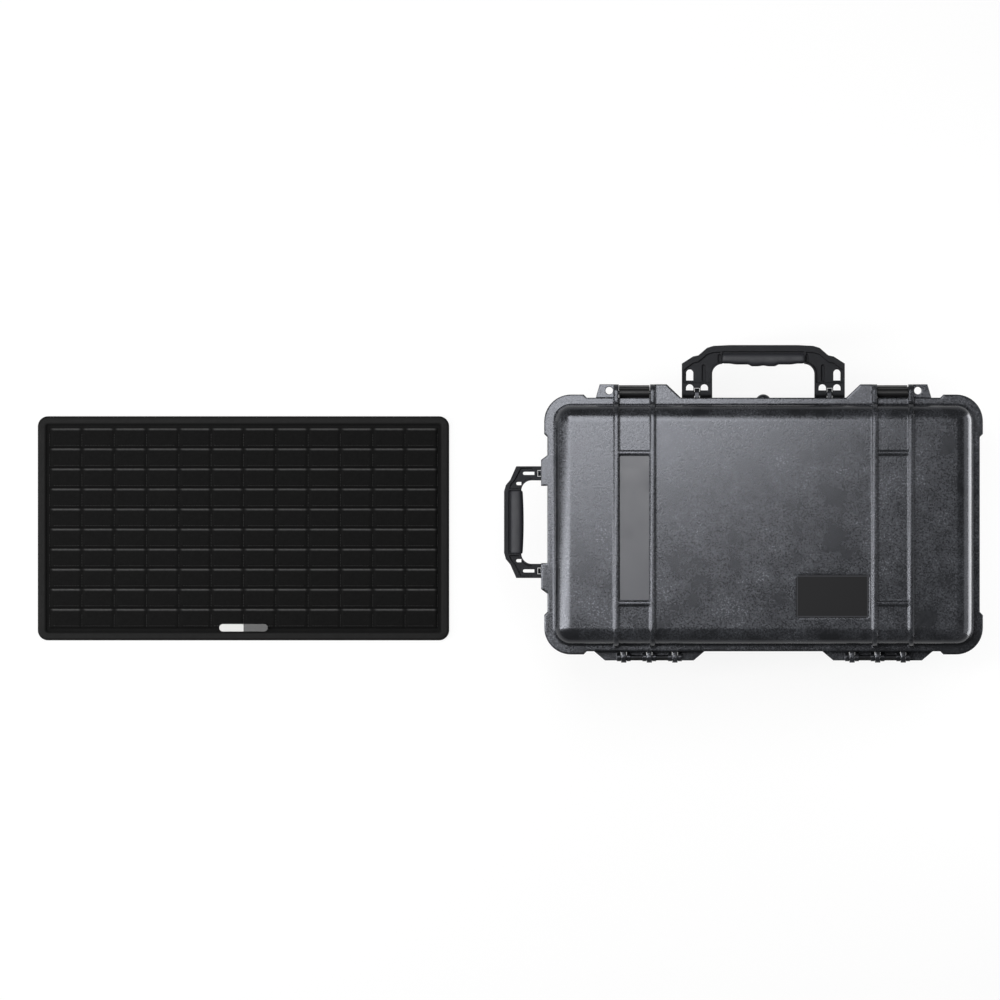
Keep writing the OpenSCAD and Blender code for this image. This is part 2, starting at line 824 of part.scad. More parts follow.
module lid_shell() {
    color(black) in_case() difference() {
        union() {
            translate([0, 0, lid_z]) {
                ring_sweep(corner_x, corner_y) difference() {
                    shell_section(corner_r, lid_rise, lid_lean, lid_edge_r, 0);
                    translate([-cut, 0])
                        shell_section(corner_r - lid_wall + cut, lid_rise - lid_wall, lid_lean,
                                      lid_edge_r - lid_wall, cut);
                }
                translate([-corner_x, -corner_y, lid_rise - lid_wall])
                    cube([2 * corner_x, 2 * corner_y, lid_wall]);
                linear_extrude(flange_h) flange_plan(lid_wall);
            }
            both_x() for (s = [-1, 1]) lid_rib(latch_x + s * rib_off);
            both_x() lid_latch_walls();
            both_x() lid_hinge();
            both_x() for (y = [cross_rib_front, -cross_rib_back])
                translate([latch_x - rib_off, y - cross_rib_w / 2, lid_z + lid_rise - lid_wall / 2])
                    cube([2 * rib_off, cross_rib_w, lid_wall / 2 + cross_rib_h]);
        }
        both_x() translate([0, hinge_y, hinge_z])
            rod_x(hinge_x - hinge_pin_half, hinge_x + hinge_pin_half, hinge_pin_d / 2 + run_clear);
        both_x() translate([latch_x, latch_pin_y, latch_pin_z]) rod_x(-ear_side, ear_side, latch_pin_d / 2);
        translate([0, 0, lid_z]) ring_sweep(corner_x, corner_y)
            translate([seal_off - seal_d / 2 - seal_clear, -cut])
                square([seal_d + 2 * seal_clear, seal_d + seal_clear + cut]);
        translate([label_x, label_y, lid_z + lid_rise - label_t])
            linear_extrude(label_t + cut) rounded_rect(label_w + 2 * label_clear, label_d + 2 * label_clear,
                                                       label_r + label_clear);
    }
}

module lid_padlock_ears() {
    color(black) in_case() translate([0, 0, lid_z]) linear_extrude(flange_h) both_x() padlock_ear_plan();
}

module lid_seal() {
    color(soft_black) in_case() translate([0, 0, lid_z]) ring_sweep(corner_x, corner_y)
        translate([seal_off, seal_d / 2]) circle(seal_d / 2);
}

module lid_plate() {
    w = 2 * (rib_off - rib_w / 2 - plate_margin);
    d = cross_rib_front + cross_rib_back - cross_rib_w - 2 * plate_margin;
    color(grey) in_case()
        translate([-latch_x, (cross_rib_front - cross_rib_back) / 2, lid_z + lid_rise])
            linear_extrude(plate_t) rounded_rect(w, d, plate_r);
}

module label_plate() {
    color(soft_black) in_case() translate([label_x, label_y, lid_z + lid_rise - label_t])
        linear_extrude(label_t) rounded_rect(label_w, label_d, label_r);
}

// One steel latch pin, on the side given by s.
module latch_pin(s) {
    color(steel) in_case() translate([s * latch_x, latch_pin_y, latch_pin_z])
        rod_x(-ear_side + pin_recess, ear_side - pin_recess, latch_pin_d / 2);
}

// Latches

// One latch lever: a bowed plate on a barrel, with side cheeks, a catch nose and a finger lip.
module latch_lever(s) {
    half = latch_w / 2;
    tip_z = latch_pin_z - latch_len;
    back_y = latch_face_y - latch_web;
    nose_z = z_part - flange_h - nose_drop;
    nose_y = flange_y + nose_clear;
    cheek_z = tip_z + lip_len + cheek_foot;
    color(soft_black) in_case() translate([s * latch_x, 0, 0]) difference() {
        union() {
            along_x(-half, half) {
                translate([latch_pin_y, latch_pin_z]) circle(barrel_r);
                polygon([
                    [latch_pin_y, latch_pin_z + barrel_r], [latch_face_y, latch_pin_z - barrel_r / 3],
                    [latch_face_y, tip_z + lip_len], [latch_face_y + lip_out, tip_z],
                    [latch_face_y + lip_out - lip_t, tip_z], [back_y, tip_z + lip_len],
                    [back_y, latch_pin_z - latch_web], [latch_pin_y, latch_pin_z - barrel_r]
                ]);
                polygon([
                    [back_y + cut, nose_z], [nose_y, nose_z], [nose_y, nose_z - nose_h],
                    [back_y + cut, nose_z - nose_h - nose_slope]
                ]);
            }
            both_x() along_x(half - latch_cheek, half) polygon([
                [latch_pin_y - latch_cheek, latch_pin_z - cheek_top],
                [latch_face_y - cut, latch_pin_z - cheek_top],
                [latch_face_y - cut, cheek_z], [back_y - cheek_foot, cheek_z],
                [nose_y + cheek_in, nose_z - nose_h - cheek_top],
                [nose_y + cheek_in, latch_pin_z - cheek_neck]
            ]);
        }
        translate([0, latch_pin_y, latch_pin_z])
            rod_x(-half - cut, half + cut, latch_pin_d / 2 + run_clear);
    }
}

// Folding handles

// Outline of a folding handle, with the tip side moved in by lip and the outer sides by rim.
module handle_outline(w, reach, shoulder, lip, rim) {
    half = w / 2;
    side = [for (p = shoulder) [min(half - p[0], half - rim), reach - p[1] - lip]];
    other = [for (i = [len(side) - 1 : -1 : 0]) [-side[i][0], side[i][1]]];
    polygon(concat([[half - rim, 0]], side, other, [[rim - half, 0]]));
}

// Finger opening of a folding handle, grown by rim, with round upper corners.
module handle_opening(w, reach, leg, bar, rim) {
    open_half = w / 2 - leg;
    open_top = reach - bar;
    corner = handle_inner_r;
    translate([-open_half - rim, -cut]) square([2 * (open_half + rim), open_top - corner + cut]);
    translate([-open_half + corner, -cut]) square([2 * (open_half - corner), open_top + rim + cut]);
    both_x() translate([open_half - corner, open_top - corner]) circle(corner + rim);
}

// Frame of a folding handle in its own frame: pin axis on local X, reach along local +Y.
module handle_frame(w, reach, leg, bar, lip, lug, shoulder, windows, grooves) {
    half = w / 2;
    open_half = half - leg;
    leg_mid = half - leg / 2;
    grip_half = open_half - handle_inner_r;
    core_y = reach - bar - grip_drop + cover_t;
    core_t = grip_t - 2 * cover_t;
    difference() {
        union() {
            translate([0, 0, -handle_t / 2]) linear_extrude(handle_t) difference() {
                handle_outline(w, reach, shoulder, 0, 0);
                handle_opening(w, reach, leg, bar, 0);
                translate([-grip_half, -cut]) square([2 * grip_half, reach - lip + cut]);
            }
            both_x() rod_x(open_half, half, handle_t / 2);
            translate([-grip_half - core_root, core_y, -core_t / 2])
                cube([2 * (grip_half + core_root), reach - lip + core_root - core_y, core_t]);
        }
        for (z = [-handle_t / 2 - cut, handle_t / 2 - web_in])
            translate([0, 0, z]) linear_extrude(web_in + cut) difference() {
                handle_outline(w, reach, shoulder, lip, web_rim);
                handle_opening(w, reach, leg, bar, web_rim);
                translate([-half, -cut]) square([w, web_start + cut]);
                translate([-grip_half - web_rim, -cut]) square([2 * (grip_half + web_rim), reach]);
            }
        for (z = [-handle_t / 2 - cut, handle_t / 2 - groove_in])
            translate([0, 0, z]) linear_extrude(groove_in + cut) both_x() for (q = grooves)
                translate([leg_mid + q[0], 0]) arch(q[3], q[1], q[2]);
        translate([0, 0, -handle_t]) linear_extrude(2 * handle_t) both_x() for (q = windows)
            translate([leg_mid + q[0], 0]) arch(q[3], q[1], q[2]);
        both_x() translate([leg_mid - lug / 2 - handle_gap, -handle_t, -handle_t])
            cube([lug + 2 * handle_gap, handle_t + lug_eye_r + lug_space, 2 * handle_t]);
        handle_pin_rods(w, leg, leg + 2 * cut, handle_pin_d / 2 + run_clear);
    }
}

// Soft cover round a handle's core, under the lip, with finger hollows on its inner side.
module handle_grip(w, reach, leg, bar, lip, fingers) {
    grip_half = w / 2 - leg - handle_inner_r;
    grip_y = reach - bar - grip_drop;
    grip_d = reach - lip - grip_y;
    difference() {
        along_x(-grip_half, grip_half) translate([grip_y + grip_d / 2, 0])
            rounded_rect(grip_d, grip_t, grip_r);
        translate([-grip_half - cut, grip_y + cover_t, -grip_t / 2 + cover_t])
            cube([2 * (grip_half + cut), grip_d, grip_t - 2 * cover_t]);
        for (i = [0 : fingers - 1])
            translate([(i - (fingers - 1) / 2) * finger_pitch, grip_y - finger_r + finger_depth, -grip_t])
                cylinder(h = 2 * grip_t, r = finger_r);
    }
}

module front_handle_frame() {
    color(black) in_case() at_front_handle()
        handle_frame(front_w, front_reach, front_leg, front_bar, front_lip, front_lug, front_shoulder,
                     front_windows, front_grooves);
}

module front_handle_grip() {
    color(soft_black) in_case() at_front_handle()
        handle_grip(front_w, front_reach, front_leg, front_bar, front_lip, 4);
}

module side_handle_frame() {
    color(black) in_case() at_side_handle()
        handle_frame(side_w, side_reach, side_leg, side_bar, side_lip, side_lug, side_shoulder,
                     side_windows, side_grooves);
}

module side_handle_grip() {
    color(soft_black) in_case() at_side_handle()
        handle_grip(side_w, side_reach, side_leg, side_bar, side_lip, 3);
}

// Pull handle

module pull_grip() {
    color(soft_black) in_case() difference() {
        rotate([90, 0, 0]) linear_extrude(pull_w, center = true)
            translate([pull_face_x + pull_t / 2, tube_z]) rounded_rect(pull_t, pull_t, pull_t / 3);
        both_y() translate([0, tube_y, tube_z]) rod_x(tube_x0, tube_x0 + pull_seat + cut, tube_d / 2);
    }
}

// One aluminium tube, on the side given by s.
module pull_tube(s) {
    color(steel) in_case() translate([0, s * tube_y, tube_z]) difference() {
        rod_x(tube_x0, tube_x1, tube_d / 2);
        rod_x(tube_x0 + tube_wall, tube_x1 + cut, tube_d / 2 - tube_wall);
    }
}

module tube_end_blocks() {
    half = chan_half - tube_clear;
    color(grey) in_case() both_y() difference() {
        translate([tube_x1 - guide_len, tube_y - half, chan_z0 + tube_clear])
            cube([guide_len, 2 * half, chan_z1 - chan_z0 - 2 * tube_clear]);
        translate([0, tube_y, tube_z]) rod_x(tube_x1 - guide_len - cut, tube_x1 + cut, tube_d / 2);
    }
}

// Wheels

// Puts a wheel's own frame in place: its axis is local Z, s = 1 is the front wheel.
module at_wheel(s) {
    in_case() translate([axle_x, s * well_y, axle_z]) rotate([90, 0, 0]) children();
}

module wheel_tyre(s) {
    depth = (wheel_d - hub_d) / 2;
    color(soft_black) at_wheel(s) rotate_extrude() difference() {
        union() {
            translate([(wheel_d + hub_d) / 4, 0]) rounded_rect(depth, tyre_w, depth * 0.4);
            translate([hub_d / 2, -tyre_w / 2]) square([depth / 2, tyre_w]);
        }
        for (y = [-tyre_w / 5, tyre_w / 5])
            translate([wheel_d / 2 - tread_depth, y - tread_w / 2]) square([tread_depth + cut, tread_w]);
    }
}

module wheel_hub(s) {
    bush_r = axle_d / 2 + bush_t;
    color(grey) at_wheel(s) difference() {
        rotate_extrude() {
            translate([bush_r, -boss_len_w / 2]) square([hub_boss_t, boss_len_w]);
            translate([bush_r, -hub_web / 2]) square([hub_d / 2 - bush_r, hub_web]);
            translate([hub_d / 2 - hub_rim, -tyre_w / 2 + hub_inset])
                square([hub_rim, tyre_w - 2 * hub_inset]);
        }
        for (i = [0 : 4])
            rotate([0, 0, 72 * i]) translate([(bush_r + hub_boss_t + hub_d / 2 - hub_rim) / 2, 0, -hub_web])
                cylinder(h = 2 * hub_web, d = hub_d / 2 - hub_rim - bush_r - hub_boss_t - hub_spoke);
    }
}

module wheel_bush(s) {
    color(steel) at_wheel(s) difference() {
        cylinder(h = boss_len_w, d = axle_d + 2 * bush_t, center = true);
        cylinder(h = boss_len_w + 2 * cut, d = axle_d + 2 * run_clear, center = true);
    }
}

// Grid panel

module panel_rim() {
    color(black) in_panel() ring_sweep(panel_w / 2 - rim_r, panel_d / 2 - rim_r)
        translate([rim_r - rim_w, 0]) {
            square([rim_w, rim_h - rim_edge]);
            translate([rim_edge, 0]) square([rim_w - 2 * rim_edge, rim_h]);
            for (x = [rim_edge, rim_w - rim_edge]) translate([x, rim_h - rim_edge]) circle(rim_edge);
        }
}

module panel_board() {
    color(soft_black) in_panel() translate([0, 0, board_z]) linear_extrude(board_t)
        rounded_rect(panel_in_w, panel_in_d, rim_r - rim_w);
}

// One sewn row, counted from the panel's back edge: the crossing of its side section and its tiled section.
module webbing_row(i) {
    d = row_pitch - row_gap;
    w = columns * col_pitch;
    tiles = [for (c = [0 : columns - 1], k = [0 : 3])
        [c * col_pitch + (k < 2 ? row_gap / 2 : col_pitch - row_gap / 2) + (k == 1 ? bevel_side : 0)
            - (k == 2 ? bevel_side : 0), k == 1 || k == 2 ? row_t : row_edge]];
    color(soft_black) in_panel()
        translate([-w / 2, (i - 1) * row_pitch - rows * row_pitch / 2 + row_gap / 2, row_z]) intersection() {
            along_x(0, w) polygon([
                [0, 0], [d, 0], [d, row_edge], [d - bevel_top, row_t], [bevel_side, row_t], [0, row_edge]
            ]);
            translate([0, d + cut, 0]) rotate([90, 0, 0]) linear_extrude(d + 2 * cut)
                polygon(concat([[w, 0], [0, 0], [0, row_edge]], tiles, [[w, row_edge]]));
        }
}

module panel_badge() {
    y = -panel_in_d / 2 + badge_d / 2 + badge_edge;
    color("#d8d8d6") in_panel() translate([0, y, row_z + row_t]) linear_extrude(badge_t)
        rounded_rect(badge_w, badge_d, badge_r);
}

base_shell();
base_padlock_ears();
hinge_pin(-1);  // hinge_pin_left
hinge_pin(1);  // hinge_pin_right
valve_body();
valve_nut();
front_handle_pins();
side_handle_pins();
tube_guides();
rail_strips();
rail_screws();
wheel_axles();
lid_shell();
lid_padlock_ears();
lid_seal();
lid_plate();
label_plate();
latch_pin(-1);  // latch_pin_left
latch_pin(1);  // latch_pin_right
latch_lever(-1);  // latch_lever_left
latch_lever(1);  // latch_lever_right
front_handle_frame();
front_handle_grip();
side_handle_frame();
side_handle_grip();
pull_grip();
pull_tube(1);  // pull_tube_front
pull_tube(-1);  // pull_tube_back
tube_end_blocks();
wheel_tyre(1);  // wheel_tyre_front
wheel_hub(1);  // wheel_hub_front
wheel_bush(1);  // wheel_bush_front
wheel_tyre(-1);  // wheel_tyre_back
wheel_hub(-1);  // wheel_hub_back
wheel_bush(-1);  // wheel_bush_back
panel_rim();
panel_board();
panel_badge();
for (i = [1 : rows]) webbing_row(i);
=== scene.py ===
"""Looks of a wheeled equipment case and of the grid panel that lies beside it."""

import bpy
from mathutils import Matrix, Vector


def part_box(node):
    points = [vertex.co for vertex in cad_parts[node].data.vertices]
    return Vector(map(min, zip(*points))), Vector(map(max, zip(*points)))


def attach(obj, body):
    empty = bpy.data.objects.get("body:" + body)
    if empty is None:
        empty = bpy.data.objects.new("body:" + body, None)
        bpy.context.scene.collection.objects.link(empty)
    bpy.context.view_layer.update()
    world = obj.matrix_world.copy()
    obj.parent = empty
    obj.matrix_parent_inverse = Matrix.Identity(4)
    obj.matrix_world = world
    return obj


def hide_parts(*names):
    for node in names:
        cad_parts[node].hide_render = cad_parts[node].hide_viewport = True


bl_info = {
    "name": "Equipment Case and Grid Panel",
    "version": (1, 0, 0),
    "blender": (4, 5, 0),
    "location": "View3D > Sidebar > Equipment Case",
    "description": "Finishes a wheeled hard case and sews the webbing of its grid panel",
    "category": "Object",
}

import bpy
import numpy as np
from mathutils import Vector

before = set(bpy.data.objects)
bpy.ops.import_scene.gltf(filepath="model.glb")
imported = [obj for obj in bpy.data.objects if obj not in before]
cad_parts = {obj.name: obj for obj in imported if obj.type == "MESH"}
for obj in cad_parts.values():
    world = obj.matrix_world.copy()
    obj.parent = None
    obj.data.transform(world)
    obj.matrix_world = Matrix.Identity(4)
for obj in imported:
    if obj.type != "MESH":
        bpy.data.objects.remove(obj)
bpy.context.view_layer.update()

MM = 0.001
ROW_NAMES = sorted(
    (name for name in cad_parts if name.startswith("webbing_row_")),
    key=lambda name: int(name.split("_")[-1]),
)

# Tiles of the panel, in the sizes of its CAD rows
TILES = 12
TILE_STEPS = 18
ROW_LOW, ROW_HIGH = (np.array(corner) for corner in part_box(ROW_NAMES[0]))
TILE_PITCH = (ROW_HIGH[0] - ROW_LOW[0]) / TILES
ROW_EDGE = 0.9 * MM
BEVEL_TOP = 3.2 * MM
BEVEL_LOW = 1.6 * MM
BEVEL_SIDE = 2.4 * MM
CROWN = 0.3 * MM

# Where a row's depth is cut into grid lines, closer along its bevelled edges
ROW_SHARES = np.concatenate([[0, 0.03, 0.07, 0.12], np.linspace(0.2, 0.78, 8), [0.86, 0.9, 0.94, 0.975, 1]])

# Painted highlight along a tile's upper edge, where its bevel faces the light, measured from the row's upper edge
# and from the tile's sides
PAINTED_HIGHLIGHT_START = 0.6 * MM
PAINTED_HIGHLIGHT_WIDTH = 1.7 * MM
PAINTED_HIGHLIGHT_FADE = 1.2 * MM
PAINTED_HIGHLIGHT_INSET = 1.9 * MM
PAINTED_HIGHLIGHT_END = 1.4 * MM

# Seam along a row's lower edge: how far inside the bevel it runs, and how high over the tiles
SEAM_INSET = 1.6 * MM
SEAM_PROUD = 0.1 * MM

# Soft grips: where the length is cut, the section's exponent and sides, and the round at each end
GRIP_SHARES = np.concatenate(
    [[0, 0.004, 0.012, 0.025], np.linspace(0.045, 0.955, 90), [0.975, 0.988, 0.996, 1]]
)
GRIP_POWER = 2.6
GRIP_SIDES = 40
GRIP_ROUND = 3.0 * MM
GRIP_SHRINK = 0.12

# Dark strip behind a latch, painted shade that fills the gap under the lever: its reach from the back of the
# lever, and how far it lies under the lever's barrel
STRIP_BACK = 1.1 * MM
STRIP_FRONT = 0.8 * MM
STRIP_TOP = 1.5 * MM
STRIP_BOTTOM = 6.5 * MM

# Thin paler line on the bare label: how far inside the edge it runs, and half its width
LABEL_LINE_IN = 1.4 * MM
LABEL_LINE_HALF = 0.6 * MM

# Where the photograph has the middle of the case, and how large one of its pixels is
PHOTO_MIDDLE_PX = (500.0, 500.0)
CASE_MIDDLE_PX = (763.5, 524.5)
PIXEL = 1.27 * MM
PHOTO_WIDTH_PX = 1000

# Lamps as name, place, aim, size and watts, fitted to the brightness that the photograph has over the lid
LAMPS = (
    ("key_softbox", (-0.076, 0.583, 2.161), (0.148, -0.046, 0.2), (0.749, 1.303), 27.5),
    ("right_strip", (0.85, -0.03, 0.11), (0.6, -0.03, 0.19), (0.6, 0.2), 2.5),
    ("right_glow", (0.8, -0.03, 0.3), (0.6, -0.03, 0.24), (0.55, 0.16), 0.36),
    ("left_strip", (-1.205, -0.174, 1.42), (0.273, 0.079, 0.2), (0.284, 2.9), 33),
)

# Floor and room: how white the camera sees the floor, what light the room gives, and the part that gloss reflects
FLOOR_REACH = 80.0
FLOOR_WHITE = 0.88
FLOOR_GLOSS = 0.1
ROOM_LIGHT = 0.15
ROOM_GLOSS = 0.05

# Length of one band of Blender's wave texture at scale 1
WAVE_LENGTH = 2 * np.pi / 20

# Colour sockets of a Mix node: its two inputs and its output
MIX_A, MIX_B, MIX_RESULT = 6, 7, 2


def hex_colour(code):
    """A linear RGBA colour from an sRGB hex code, by the sRGB transfer curve."""
    srgb = np.array([int(code[i : i + 2], 16) for i in (1, 3, 5)]) / 255
    linear = np.where(srgb <= 0.04045, srgb / 12.92, ((srgb + 0.055) / 1.055) ** 2.4)
    return (*linear.tolist(), 1.0)


def colour_property(name, description, code):
    """A colour that a user can change, with an sRGB hex code as its default."""
    return bpy.props.FloatVectorProperty(
        name=name, description=description, subtype="COLOR", size=4, min=0, max=1, default=hex_colour(code)
    )


def length_property(name, description, millimetres):
    """A length that a user can change, with its default in millimetres."""
    return bpy.props.FloatProperty(
        name=name, description=description, unit="LENGTH", precision=4, min=0, default=millimetres * MM
    )


# Sizes and colours


class CaseFinish(bpy.types.PropertyGroup):
    """Finishes of the case's moulded, rubber and metal pieces."""

    shell: colour_property("Shell", "Black moulded polypropylene of the shells", "#151618")
    dust: colour_property("Dust", "Pale dust and scuffs in the shell's grain", "#515358")
    grain: length_property("Grain", "Width of a pebble of the moulded grain, drawn coarse enough to show", 2.2)
    grain_depth: length_property("Grain depth", "Height of a pebble of the grain", 0.16)
    mottle: length_property("Mottle", "Width of the dusty clouds on the shell", 55)
    edge: length_property("Edge", "Radius of the moulded edges", 1.6)
    rib_edge: length_property("Rib edge", "Radius of the lid's rounder ribs", 3.8)
    small_edge: length_property("Small edge", "Radius of the edges of smooth small pieces", 0.6)
    lever: colour_property("Lever", "Smooth black of the latch levers", "#161617")
    fitting: colour_property("Fitting", "Dark grey nylon of the guides, nut and hubs", "#3c3e40")
    rubber: colour_property("Rubber", "Soft black of the grips and the seal", "#232429")
    tyre: colour_property("Tyre", "Black rubber of the wheels", "#1c1c1c")
    handle: colour_property("Handle", "Dull black nylon of the folding handles", "#141415")
    gloss_tint: colour_property("Gloss tint", "Cool cast of what the black plastic reflects", "#f2f5ff")
    plate: colour_property("Plate", "Satin grey of the bare plate between the ribs", "#404147")
    label: colour_property("Label", "Dark film of the bare label", "#151517")
    label_line: colour_property("Label line", "Thin line just inside the label's edge", "#333438")
    steel: colour_property("Steel", "Bright ground steel of the axles, bushes and screws", "#b9bbbe")
    blackened: colour_property("Blackened steel", "Dark steel of the pins", "#2e2f31")
    tube: colour_property("Tube", "Pale anodised aluminium of the pull handle's tubes", "#c3c6ca")


class PanelFinish(bpy.types.PropertyGroup):
    """Finishes and sewing of the grid panel."""

    rim: colour_property("Rim", "Matt black of the moulded rim", "#181818")
    board: colour_property("Board", "Black felt of the board between the rows", "#141414")
    cloth: colour_property("Cloth", "Black nylon of the webbing rows", "#101010")
    # Painted highlight: the paler colour given to each row's upper edge, where its bevel faces the light
    painted_highlight: colour_property("Fold", "Paler nylon along a row's folded upper edge", "#4b4b4b")
    thread: colour_property("Thread", "Black sewing thread", "#1b1b1b")
    badge: colour_property("Badge", "Pale half of the bare badge", "#c8c8c6")
    badge_dark: colour_property("Dark badge", "Dark half of the bare badge", "#2b2b2b")
    yarn: length_property("Yarn", "Spacing of the yarns, drawn coarse enough to show", 2.4)
    stitch: length_property("Stitch", "Length of one stitch", 2.6)
    stitch_gap: length_property("Stitch gap", "Gap between two stitches", 0.7)
    thread_width: length_property("Thread width", "Thickness of the thread", 0.7)
    small_edge: length_property("Small edge", "Radius of the edges of the rim and the thread", 0.6)


class StageSettings(bpy.types.PropertyGroup):
    """Camera and floor."""

    lens: bpy.props.FloatProperty(
        name="Lens",
        description="Focal length, long because the photograph has no perspective",
        unit="CAMERA",
        min=50,
        default=1000,
    )
    floor: colour_property("Floor", "Pale floor under the kit", "#bdbdbd")


# Meshes


def node_box(name):
    """Lowest and highest corner of a node's box as arrays, in metres."""
    low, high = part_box(name)
    return np.array(low), np.array(high)


def node_middle(name):
    """Middle of a node's box, in metres."""
    low, high = node_box(name)
    return (low + high) / 2


def make_piece(name, vertices, faces, material, body):
    """A smooth mesh object from vertex rows and face rows, which rides on a body."""
    mesh = bpy.data.meshes.new(name)
    mesh.from_pydata(np.asarray(vertices).tolist(), [], [list(map(int, face)) for face in faces])
    mesh.polygons.foreach_set("use_smooth", np.ones(len(mesh.polygons), bool))
    mesh.materials.append(material)
    mesh.update()
    piece = bpy.data.objects.new(name, mesh)
    bpy.context.scene.collection.objects.link(piece)
    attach(piece, body)
    return piece


def grid_faces(rows, columns, wrap=False):
    """Quads between neighbouring points of a grid, closed round its columns if wrap is set."""
    last = columns if wrap else columns - 1
    r, c = np.meshgrid(np.arange(rows - 1), np.arange(last), indexing="ij")
    after = (c + 1) % columns
    quads = [r * columns + c, r * columns + after, (r + 1) * columns + after, (r + 1) * columns + c]
    return np.stack(quads, -1).reshape(-1, 4)


def smooth_step(x):
    """3x^2 - 2x^3 between 0 and 1, flat outside."""
    x = np.clip(x, 0, 1)
    return x * x * (3 - 2 * x)


def closed_slab(top, floor_z):
    """A closed solid under a grid of top points: the top, four straight skirts and a floor of the same grid."""
    rows, columns, _ = top.shape
    count = rows * columns
    below = top.copy()
    below[..., 2] = floor_z
    vertices = np.concatenate([top.reshape(-1, 3), below.reshape(-1, 3)])
    faces = grid_faces(rows, columns)
    index = np.arange(count).reshape(rows, columns)
    ring = np.concatenate([index[0, :-1], index[:-1, -1], index[-1, :0:-1], index[:0:-1, 0]])
    after = np.roll(ring, -1)
    skirts = np.stack([ring, ring + count, after + count, after], -1)
    return vertices, np.concatenate([faces, faces[:, ::-1] + count, skirts])


def webbing_row(low, high):
    """One sewn row of padded tiles as a height over (x, y), and how far each point belongs to the painted
    highlight along the upper edge.

    The height is the row's edge plus the rest times the least of four smooth ramps, one from each side of a
    tile, with a low crown over the tile that fades with them:
    h = edge + (full - edge) * ramp + crown * sin(pi s) * sin(pi t) * ramp.
    The painted highlight is 1 along the upper edge of each tile, where the bevel faces the light, and fades out
    below it and towards the tile's sides.
    """
    across = np.linspace(0, TILE_PITCH, TILE_STEPS + 1)
    x = (np.arange(TILES)[:, None] * TILE_PITCH + across[None, :-1]).ravel()
    x = np.append(x, TILES * TILE_PITCH)
    depth = high[1] - low[1]
    y = depth * ROW_SHARES
    s = (x % TILE_PITCH) / TILE_PITCH
    s[-1] = 1.0
    from_side = np.minimum(s, 1 - s) * TILE_PITCH
    from_top = depth - y
    ramp_side = smooth_step(from_side / BEVEL_SIDE)[:, None]
    ramp_top = smooth_step(from_top / BEVEL_TOP)[None, :]
    ramp_low = smooth_step(y / BEVEL_LOW)[None, :]
    ramp = np.minimum(np.minimum(ramp_side, ramp_top), ramp_low)
    full = high[2] - low[2] - CROWN
    crown = CROWN * np.sin(np.pi * s)[:, None] * np.sin(np.pi * y / depth)[None, :]
    height = ROW_EDGE + (full - ROW_EDGE) * ramp + crown * ramp
    top = np.stack(np.broadcast_arrays(low[0] + x[:, None], low[1] + y[None, :], low[2] + height), -1)
    vertices, faces = closed_slab(top, low[2])
    painted_band = smooth_step(from_top / PAINTED_HIGHLIGHT_START) * (1 - smooth_step((from_top - PAINTED_HIGHLIGHT_WIDTH) / PAINTED_HIGHLIGHT_FADE))
    painted_highlight = np.zeros((2, len(x), len(y)), np.float32)
    painted_highlight[0] = painted_band[None, :] * smooth_step((from_side - PAINTED_HIGHLIGHT_INSET) / PAINTED_HIGHLIGHT_END)[:, None]
    return vertices, faces[:, ::-1], painted_highlight.ravel()


def stitches(spots, along, length, width):
    """Arched stitches at the given spots, along X (0) or Y (1).

    Each is a tube of six sides on five rings: its axis rises as sin(pi t) by half its width, and its radius
    narrows from the middle to about a third at the ends. Two quads close each end.
    """
    rings, sides = 5, 6
    t = np.linspace(0, 1, rings)
    angle = np.arange(sides) * np.pi / 3
    arch = np.sin(np.pi * t)
    radius = width / 2 * (0.35 + 0.65 * arch)
    run = np.repeat((t - 0.5)[:, None] * length, sides, 1)
    side = radius[:, None] * np.cos(angle)[None, :]
    up = radius[:, None] * np.sin(angle)[None, :] + width / 2 * arch[:, None]
    shape = np.stack([run, side, up] if along == 0 else [-side, run, up], -1).reshape(-1, 3)
    vertices = (spots[:, None, :] + shape[None, :, :]).reshape(-1, 3)
    walls = grid_faces(rings, sides, wrap=True)[:, ::-1]
    caps = np.array([[5, 4, 3, 2], [5, 2, 1, 0], [24, 25, 26, 27], [24, 27, 28, 29]])
    first = (np.arange(len(spots)) * rings * sides)[:, None, None]
    return vertices, np.concatenate([(first + walls).reshape(-1, 4), (first + caps).reshape(-1, 4)])


def stepped_hollow(x):
    """How far the front grip stands back at x from its middle, in metres.

    It is 3.5 mm less two smooth steps, of 1.2 mm over the 12 mm inside 45 mm and of 2.3 mm over the 6 mm inside
    20 mm, plus a notch of 0.9 mm at the middle, exp(-(x / 4 mm)^2).
    """
    far = np.abs(x) / MM
    steps = 1.2 * smooth_step((45 - far) / 12) + 2.3 * smooth_step((20 - far) / 6)
    return (3.5 - steps + 0.9 * np.exp(-((far / 4) ** 2))) * MM


def bowed_hollow(x):
    """How far the side grip stands back at x from its middle, in metres: a parabola of 3 mm at 60 mm."""
    return 3.0 * MM * np.clip(x / (60 * MM), -1, 1) ** 2


